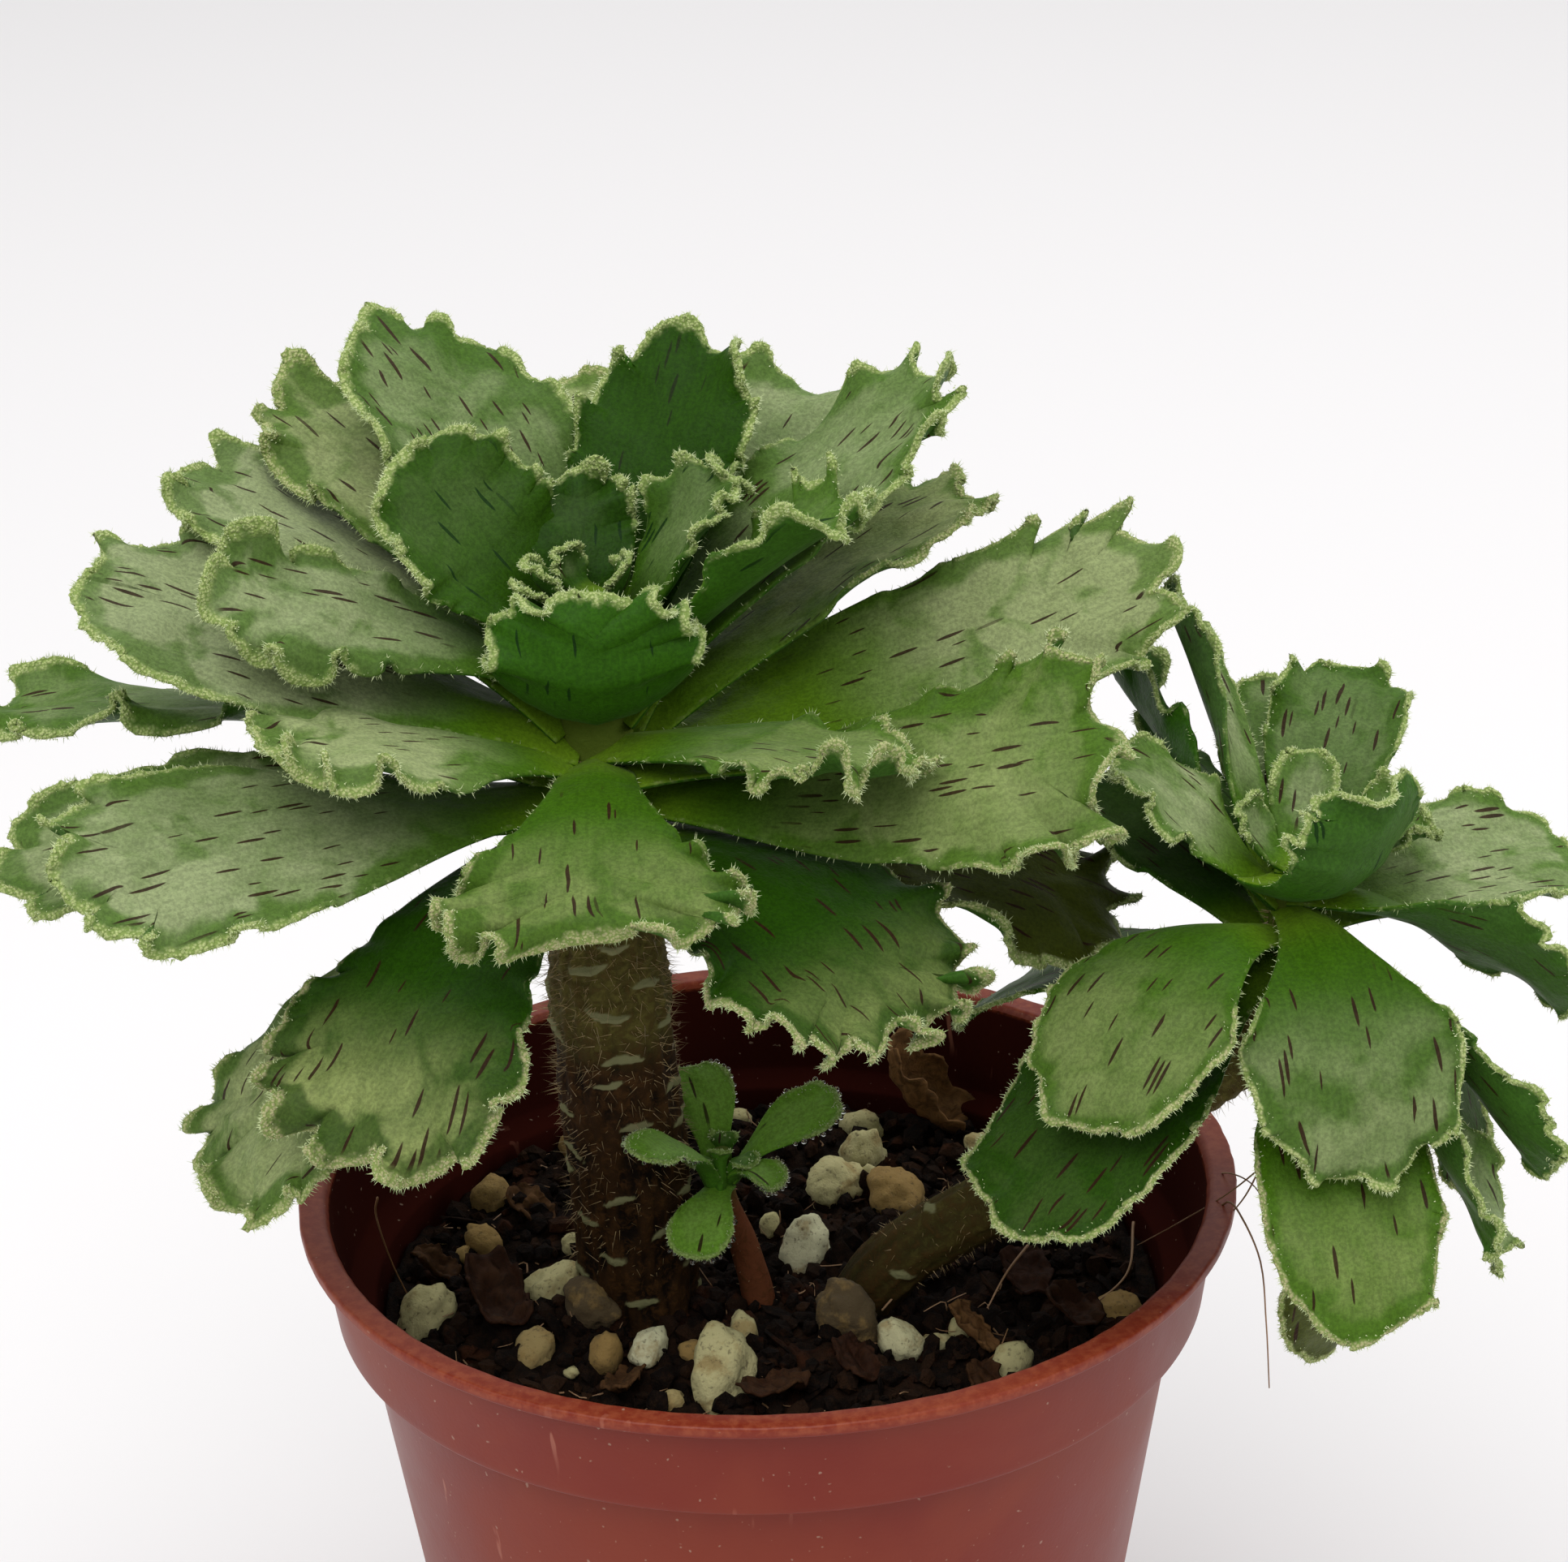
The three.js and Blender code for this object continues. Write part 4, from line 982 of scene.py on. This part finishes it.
def addCrumbs(rng, kind):
    source = shapeOf(roughStone("crumbSource", 1, 3.1 * kind, *soilShape["crumbShape"]))
    count = soilShape["crumbs"]
    size = lerp(*soilShape["crumbSize"], rng.uniform(0, 1, count) ** 2)
    turns = randomTurns(rng, count) * size[:, None, None]
    spots = onSoil(rng, count, 0) + (0, 0, 0.15) + (0, 0, 1) * size[:, None] * 0.3
    return copiesOf(source, "crumbs", turns, spots, rng.uniform(0, 1, count) ** 1.6)


def addChips(rng):  # flat bark chips and short bits of root
    source = shapeOf(roughStone("chipSource", 1, 17.0, *soilShape["chipShape"]))
    count = soilShape["chips"]
    turns = randomTurns(rng, count)
    flat = unit(turns[:, :, 2] * (0.6, 0.6, 1.5))
    side = unit(np.cross(flat, turns[:, :, 0]))
    size = rng.uniform(*soilShape["chipSize"], count)[:, None, None]
    axes = np.stack([np.cross(side, flat), side, flat], 2) * size
    return copiesOf(source, "chips", axes, onSoil(rng, count, 0) + (0, 0, 0.45), rng.uniform(0.1, 1, count))


def smoothPath(points, shares):  # a centripetal curve through the points
    spots = np.array(points, float)
    spots = np.vstack([2 * spots[0] - spots[1], spots, 2 * spots[-1] - spots[-2]])
    gaps = np.linalg.norm(np.diff(spots, axis=0), axis=1)[:, None] ** 0.5
    spread = np.asarray(shares, float) * (len(points) - 1)
    k = np.minimum(spread.astype(int), len(points) - 2)
    w = (spread - k)[:, None]
    a, b, c, d = spots[k], spots[k + 1], spots[k + 2], spots[k + 3]
    g0, g1, g2 = gaps[k], gaps[k + 1], gaps[k + 2]
    leave = ((b - a) / g0 - (c - a) / (g0 + g1) + (c - b) / g1) * g1
    arrive = ((c - b) / g1 - (d - b) / (g1 + g2) + (d - c) / g2) * g1
    return (
        b * (2 * w**3 - 3 * w**2 + 1) + leave * (w**3 - 2 * w**2 + w)
        + c * (3 * w**2 - 2 * w**3) + arrive * (w**3 - w**2)
    )


def tubeAxes(points, shares):  # the middle line of a tube and two directions across it
    step = 1e-3
    ahead, behind = np.minimum(shares + step, 1), np.maximum(shares - step, 0)
    along = unit(smoothPath(points, ahead) - smoothPath(points, behind))
    side = unit(np.cross(np.broadcast_to((0.0, 1.0, 0.001), along.shape), along))
    return smoothPath(points, shares), side, np.cross(along, side)


def addThread(name, points, radius, grid):
    columns, rows = grid
    centre, side, fore = tubeAxes(points, np.linspace(0, 1, rows + 1))
    column, row = np.indices((columns + 1, rows + 1))
    turn = (column / columns * fullTurn)[..., None]
    thin = radius * (1 - 0.45 * (row / rows))[..., None]
    places = centre[row] + (side[row] * np.cos(turn) + fore[row] * np.sin(turn)) * thin
    return closeShell(addGrid(name, places), 0.001 * mm)


def addDryLeaf(x, y, z, length, width, curl, turn, tilt, tone, seed):
    columns, rows = soilShape["leafGrid"]
    column, row = np.indices((columns + 1, rows + 1))
    u, v = column / columns * 2 - 1, row / rows * 2 - 1
    half = width / 2 * np.sqrt(np.clip(1.02 - v**2 * 0.8, 0, 1)) * (1 + 0.14 * np.sin(7 * v + seed))
    half = half * (1 + 0.3 * noiseAt(stacked(np.sign(u), v * 5, 0.0), 1, seed))
    across, along = u * half, v * length / 2
    flat = stacked(across, along, 0.0)
    ruffle = 0.9 * noiseAt(flat, 0.5, seed * 3.3) + 0.5 * noiseAt(flat, 1.3, seed)
    bend = width / math.radians(curl)
    rise = (1 - np.cos(across / bend)) * bend + 0.06 * along**2 + ruffle
    places = stacked(np.sin(across / bend) * bend, along, rise)
    leaf = addGrid("dryLeaf", places, tone=tone + 0.15 * ruffle)
    turned = Matrix.Rotation(math.radians(turn), 4, "Z") @ Matrix.Rotation(math.radians(tilt), 4, "X")
    leaf.data.transform(Matrix.Translation((x * mm, y * mm, z * mm)) @ turned)
    applyModifier(leaf, "SOLIDIFY", thickness=soilShape["leafThickness"] * mm, offset=0)
    return smooth(leaf)


def soilMaterial(c):
    p = Paint("pottingMix", c["dark"])
    p.cover(p.ramp(p.read("tone"), 0.35, 1), c["brown"])
    p.cover(p.ramp(p.noise(260), 0.58, 0.72, 0, 0.7), c["rust"])
    p.cover(p.ramp(p.noise(1100, 4, 0.7), 0.42, 0.7, 0, 0.5), c["brown"])
    p.bump(p.noise(600, 5, 0.75), 0.8)
    return p.finish(0.85, {"Specular IOR Level": 0.12})


def pumiceMaterial(c):
    p = Paint("pumice", c["grime"])
    tone, pits = p.read("tone"), p.noise(1900, 3, 0.6)
    p.cover(p.ramp(tone, 0.3, 1), c["ochre"])
    p.cover(p.ramp(tone, 1.1, 2), c["pumice"])
    p.cover(p.ramp(tone, 2.2, 3), c["white"])
    p.cover(p.ramp(p.noise(330, 4, 0.65), 0.5, 0.68, 0, 0.65), c["ochre"])
    p.cover(p.ramp(pits, 0.3, 0.45, 0.6, 0), c["grime"])
    p.bump(p.noise(800, 4, 0.7), 0.35, 0.8)
    p.bump(pits, 0.12, 0.8)
    return p.finish(0.9, {})


def flakeMaterial(c):
    p = Paint("dryLeaf", c["flake"])
    veins = p.noise(700, 4, 0.7, 1.2)
    p.cover(p.ramp(p.read("tone"), 0, 1), c["flakeLight"])
    p.cover(p.ramp(veins, 0.35, 0.7, 0, 0.6), c["dark"])
    p.bump(veins, 0.3, 0.7)
    return p.finish(0.7, {"Specular IOR Level": 0.1})


def fibreMaterial(c):
    p = Paint("rootThread", c["fibre"])
    p.cover(p.ramp(p.noise(120), 0.35, 0.65), c["flakeLight"])
    return p.finish(0.6, {})


def addGrain(rng, index, x, y, size, tone):
    subdivisions = 3 if size < soilShape["fineGrain"] else 4
    stone = roughStone("grain", subdivisions, index * 2.7, *soilShape["grainShape"])
    held = min(1, (soilShape["radius"] - 0.9 - size * 0.52) / max(np.hypot(x, y), 0.1))  # inside the pot
    x, y = x * held, y * held
    height = float(soilHeight(np.array([x]), np.array([y]))[0]) + size * 0.24
    turned = randomTurns(rng, 1)[0] * size * 0.56
    setPlaces(stone.data, (placesOf(stone.data) @ turned.T + (x, y, height)) * mm)
    saveAttribute(stone.data, "tone", np.full(len(stone.data.vertices), float(tone)))
    return smooth(stone)


def addSoil(rng, c):
    def finish(name, objs, material, *nodes):
        place(dress(joinAll(name, objs), material), "soil", *nodes)

    loose = [addCrumbs(rng, kind) for kind in range(soilShape["crumbKinds"])]
    finish("soilMix", [addSoilBed(), *loose, addChips(rng)], soilMaterial(c), "soil")
    grains = [addGrain(rng, index, *row) for index, row in enumerate(pumiceSpots)]
    finish("pumiceGrains", grains, pumiceMaterial(c))
    finish("dryLeaves", [addDryLeaf(*row, seed) for seed, row in enumerate(dryLeaves)], flakeMaterial(c))
    grid = soilShape["threadGrid"]
    threads = [addThread("rootThread", points, radius, grid) for radius, points in rootThreads]
    for spot in onSoil(rng, soilShape["fibres"], 0.5):
        way = unit(rng.normal(size=3) * (1, 1, 0.35)) * rng.uniform(1.5, 4)
        middle = spot + way * 0.5 + rng.normal(size=3) * 0.5
        points, radius = [spot, middle, spot + way], rng.uniform(0.05, 0.12)
        threads.append(addThread("fibre", points, radius, soilShape["fibreGrid"]))
    finish("rootThreads", threads, fibreMaterial(c))


addSoil(np.random.default_rng(5), soilColors)
print("soil made")


# Stems: through these points and up the middle of each rosette
stemShapes = dict(
    main_stem=dict(
        points=[(-12.4, -2.6, 42), (-12.8, -2.6, 72), (-14.2, -2.6, 96)], crown=tallCrown, thick=5.7,
        columns=110, rows=230, furrow=0.42, scars=58, scarRise=0.9, scarSize=(2.2, 0.42), hairs=2900,
        hairLength=1.3, greenFrom=93, greenTo=99, slot="bark",
    ),
    side_stem=dict(
        points=[(6, -1, 46), (9.5, -2, 66), (24, -5, 79), (39, -9, 91)], crown=sideCrown, thick=3.3,
        columns=64, rows=150, furrow=0.3, scars=26, scarRise=1.7, scarSize=(1.3, 0.34), hairs=1500,
        hairLength=0.8, greenFrom=58, greenTo=88, slot="bark",
    ),
    pup_stem=dict(
        points=[(-1, -2, 50), (-1, -2, 64), (-2.6, -2, 72)], crown=pupCrown, thick=1.7,
        columns=28, rows=60, furrow=0.05, scars=0, scarRise=1.6, scarSize=(0.6, 0.16), hairs=60,
        hairLength=0.25, greenFrom=75, greenTo=80, slot="young_stem",
    ),
)
stemBuild = dict(
    footShares=(0, 0.04, 0.08, 0.11, 0.13), hairsFrom=60, hairWidth=0.038, scarDepth=0.28,
    scarTurn=math.radians(137.5),  # each scar stands this far round from the one below
)
stemColors = dict(
    # furrow is painted shade, near black in the sunken furrows of the bark
    bark=rgb(0.034, 0.015, 0.004), furrow=rgb(0.006, 0.003, 0.001), tuft=rgb(0.085, 0.037, 0.01),
    # crown is partly painted shade: a dark green for the crown among the leaf feet, where little light
    # reaches
    scar=rgb(0.27, 0.27, 0.13), green=rgb(0.15, 0.13, 0.03), crown=rgb(0.09, 0.13, 0.012),
    young=rgb(0.19, 0.06, 0.024), hair=rgb(0.56, 0.41, 0.2),
)


def stemMaterial(name, c, base):
    p = Paint(name, c["furrow"])
    scar, green, crown = p.split(p.read("skin", "Vector"))
    tufts = p.noise(900, 4, 0.75, 0.5)
    # Painted shade: the sunken furrows of the bark are painted near black, and the ridges get the bark colour
    p.cover(p.ramp(p.read("furrow"), -0.5, 0.35), base)
    p.cover(p.ramp(tufts, 0.45, 0.7, 0, 0.75), c["tuft"])
    p.cover(p.times(green, p.ramp(tufts, 0.3, 0.6, 1, 0.35)), c["green"])
    p.cover(p.ramp(scar, 0.05, 0.4, 0, 0.85), c["scar"])
    # Partly painted shade: the crown among the leaf feet is painted dark green
    p.cover(crown, c["crown"])
    p.bump(tufts, 0.3, 0.8)
    p.bump(p.noise(320, 3), 0.5, 0.5)
    return p.finish(0.75, {"Specular IOR Level": 0.12})


def addStem(node, skin, hairSkin, rng):
    stem, build = stemShapes[node], stemBuild
    crown, thick, bark = stem["crown"], stem["thick"], min(1, stem["furrow"] * 3)
    low, high = crown["low"], crown["high"]
    columns, rows = stem["columns"], stem["rows"]
    spots = stem["points"] + [(crown["x"], crown["y"], low), (crown["x"], crown["y"], high)]
    foot = build["footShares"]
    shares = np.concatenate([foot[:-1], np.linspace(foot[-1], 1, rows + 2 - len(foot))])
    centre, side, fore = tubeAxes(spots, shares)
    height = np.broadcast_to(centre[:, 2], (columns + 1, rows + 1))
    turn = np.broadcast_to(np.arange(columns + 1)[:, None] / columns * fullTurn, height.shape)
    bare = lerp(thick, crown["lowRadius"], ramp(height, low - 16, low))
    inCrown = np.clip((height - low) / (high - low), 0, 1)
    radius = np.where(height < low, bare, lerp(crown["lowRadius"], crown["highRadius"], inCrown))

    # Furrows, leaf scars and faint rings in the bark, up to where the leaves begin
    ring = stacked(*onRing(turn, thick), height * 0.22)
    furrow = noiseAt(ring, 0.85, 3) + 0.6 * noiseAt(ring, 1.9, 8)
    lumps = noiseAt(ring * (1, 1, 2), 0.22, 6)
    scar = np.zeros(height.shape)
    for k in range(stem["scars"]):
        at = rng.uniform(-0.4, 0.4) + k * build["scarTurn"]
        level = soilShape["level"] + 2 + stem["scarRise"] * k + rng.uniform(-0.5, 0.5)
        arc = ((turn - at + math.pi) % fullTurn - math.pi) * thick
        sag = rng.choice((-1, 1)) * 0.1 * arc**2 + rng.normal(0, 0.12) * arc
        width, tall = np.array(stem["scarSize"]) * rng.uniform(0.75, 1.15)
        scar = np.maximum(scar, 1 - (arc / width) ** 2 - ((height - level - sag) / tall) ** 2)
    bareShare = ramp(height, low + 3, low - 5)
    green = ramp(height, stem["greenFrom"], stem["greenTo"])
    rings = 0.1 * np.sin(height * 5.2 + 2 * np.sin(turn * 2)) * green
    rough = stem["furrow"] * (furrow - 0.2) + 0.3 * stem["furrow"] * lumps
    radius = radius + bareShare * rough + rings * bareShare
    radius = radius + build["scarDepth"] * np.clip(scar, 0, 1) ** 0.5 * bareShare * bark
    outward = side * np.cos(turn)[..., None] + fore * np.sin(turn)[..., None]
    places = centre + outward * radius[..., None]
    furrow = lerp(0.35, furrow, bark)  # a smooth stem has an even colour
    marks = stacked(np.clip(scar, 0, 1) * bareShare, green, ramp(height, low - 2, low + 5))
    body = closeShell(dress(addGrid(camel(node), places, skin=marks, furrow=furrow), skin))

    # Hairs between the scars
    start = build["hairsFrom"]
    share = rng.uniform(0.02, 1, stem["hairs"]) ** 0.8 * (low + 3 - start) / (high - start) + 0.12
    row = np.clip((share * rows).astype(int), 4, rows)
    column = rng.integers(0, columns, stem["hairs"])
    clear = scar[column, row] < 0.1
    row, column = row[clear], column[clear]
    count = len(row)
    spread = rng.normal(0, 0.36, (count, 3))
    way = unit(outward[column, row] * rng.uniform(0.55, 1, count)[:, None] + spread)
    length = stem["hairLength"] * rng.uniform(0.4, 1.7, count) * lerp(0.7, 1.35, row / rows)
    width = np.full(count, build["hairWidth"])
    hairs = addHairs(camel(node) + "Hairs", way, width, length, places[column, row], hairSkin)
    return place(joinAll(camel(node), [body, hairs]), stem["slot"], node)


stemRng = np.random.default_rng(23)
stemHair = hairMaterial("stemHair", stemColors["hair"], stemColors["tuft"])
stemSkins = dict(
    bark=stemMaterial("stemBark", stemColors, stemColors["bark"]),
    young_stem=stemMaterial("youngStem", stemColors, stemColors["young"]),
)
for node, stem in stemShapes.items():
    addStem(node, stemSkins[stem["slot"]], stemHair, stemRng)
print("stems made")


# Floor and light: the place of each light, where it aims, its size and its power
areaLights = dict(
    keyLight=((-0.15, -0.6, 1.12), (0, 0, 0.1), 1.1, 9.3),
    backLight=((0.1, 0.6, 1.0), (0.05, 0.4, 0), 1.0, 3.3),
    rightLight=((1.0, -0.1, 0.6), (0.1, 0, 0.05), 0.6, 2.8),
    leftLight=((-1.0, -0.1, 0.75), (-0.1, 0, 0.08), 0.6, 1.4),
)
stageColors = dict(floor=rgb(0.86, 0.845, 0.85), sky=rgb(1, 1, 1))


def addFloor():
    pick()
    bpy.ops.mesh.primitive_plane_add(size=6, location=(0, 1, 0))
    floor = added("paleFloor")
    dress(floor, Paint("paleFloor", stageColors["floor"]).finish(0.8, {}))


def addArea(name, spot, aim, size, power):
    light = bpy.data.lights.new(name, "AREA")
    light.shape = "DISK"
    light.size = size
    light.energy = power
    obj = linkNew(name, light)
    obj.location = spot
    obj.rotation_euler = (Vector(aim) - Vector(spot)).to_track_quat("-Z", "Y").to_euler()


addFloor()
for name, row in areaLights.items():
    addArea(name, *row)
world = bpy.data.worlds.new("paleStudio")
bpy.context.scene.world = world
world.use_nodes = True
sky = world.node_tree.nodes["Background"].inputs
sky["Color"].default_value = stageColors["sky"]
sky["Strength"].default_value = 0.5
print("stage set")
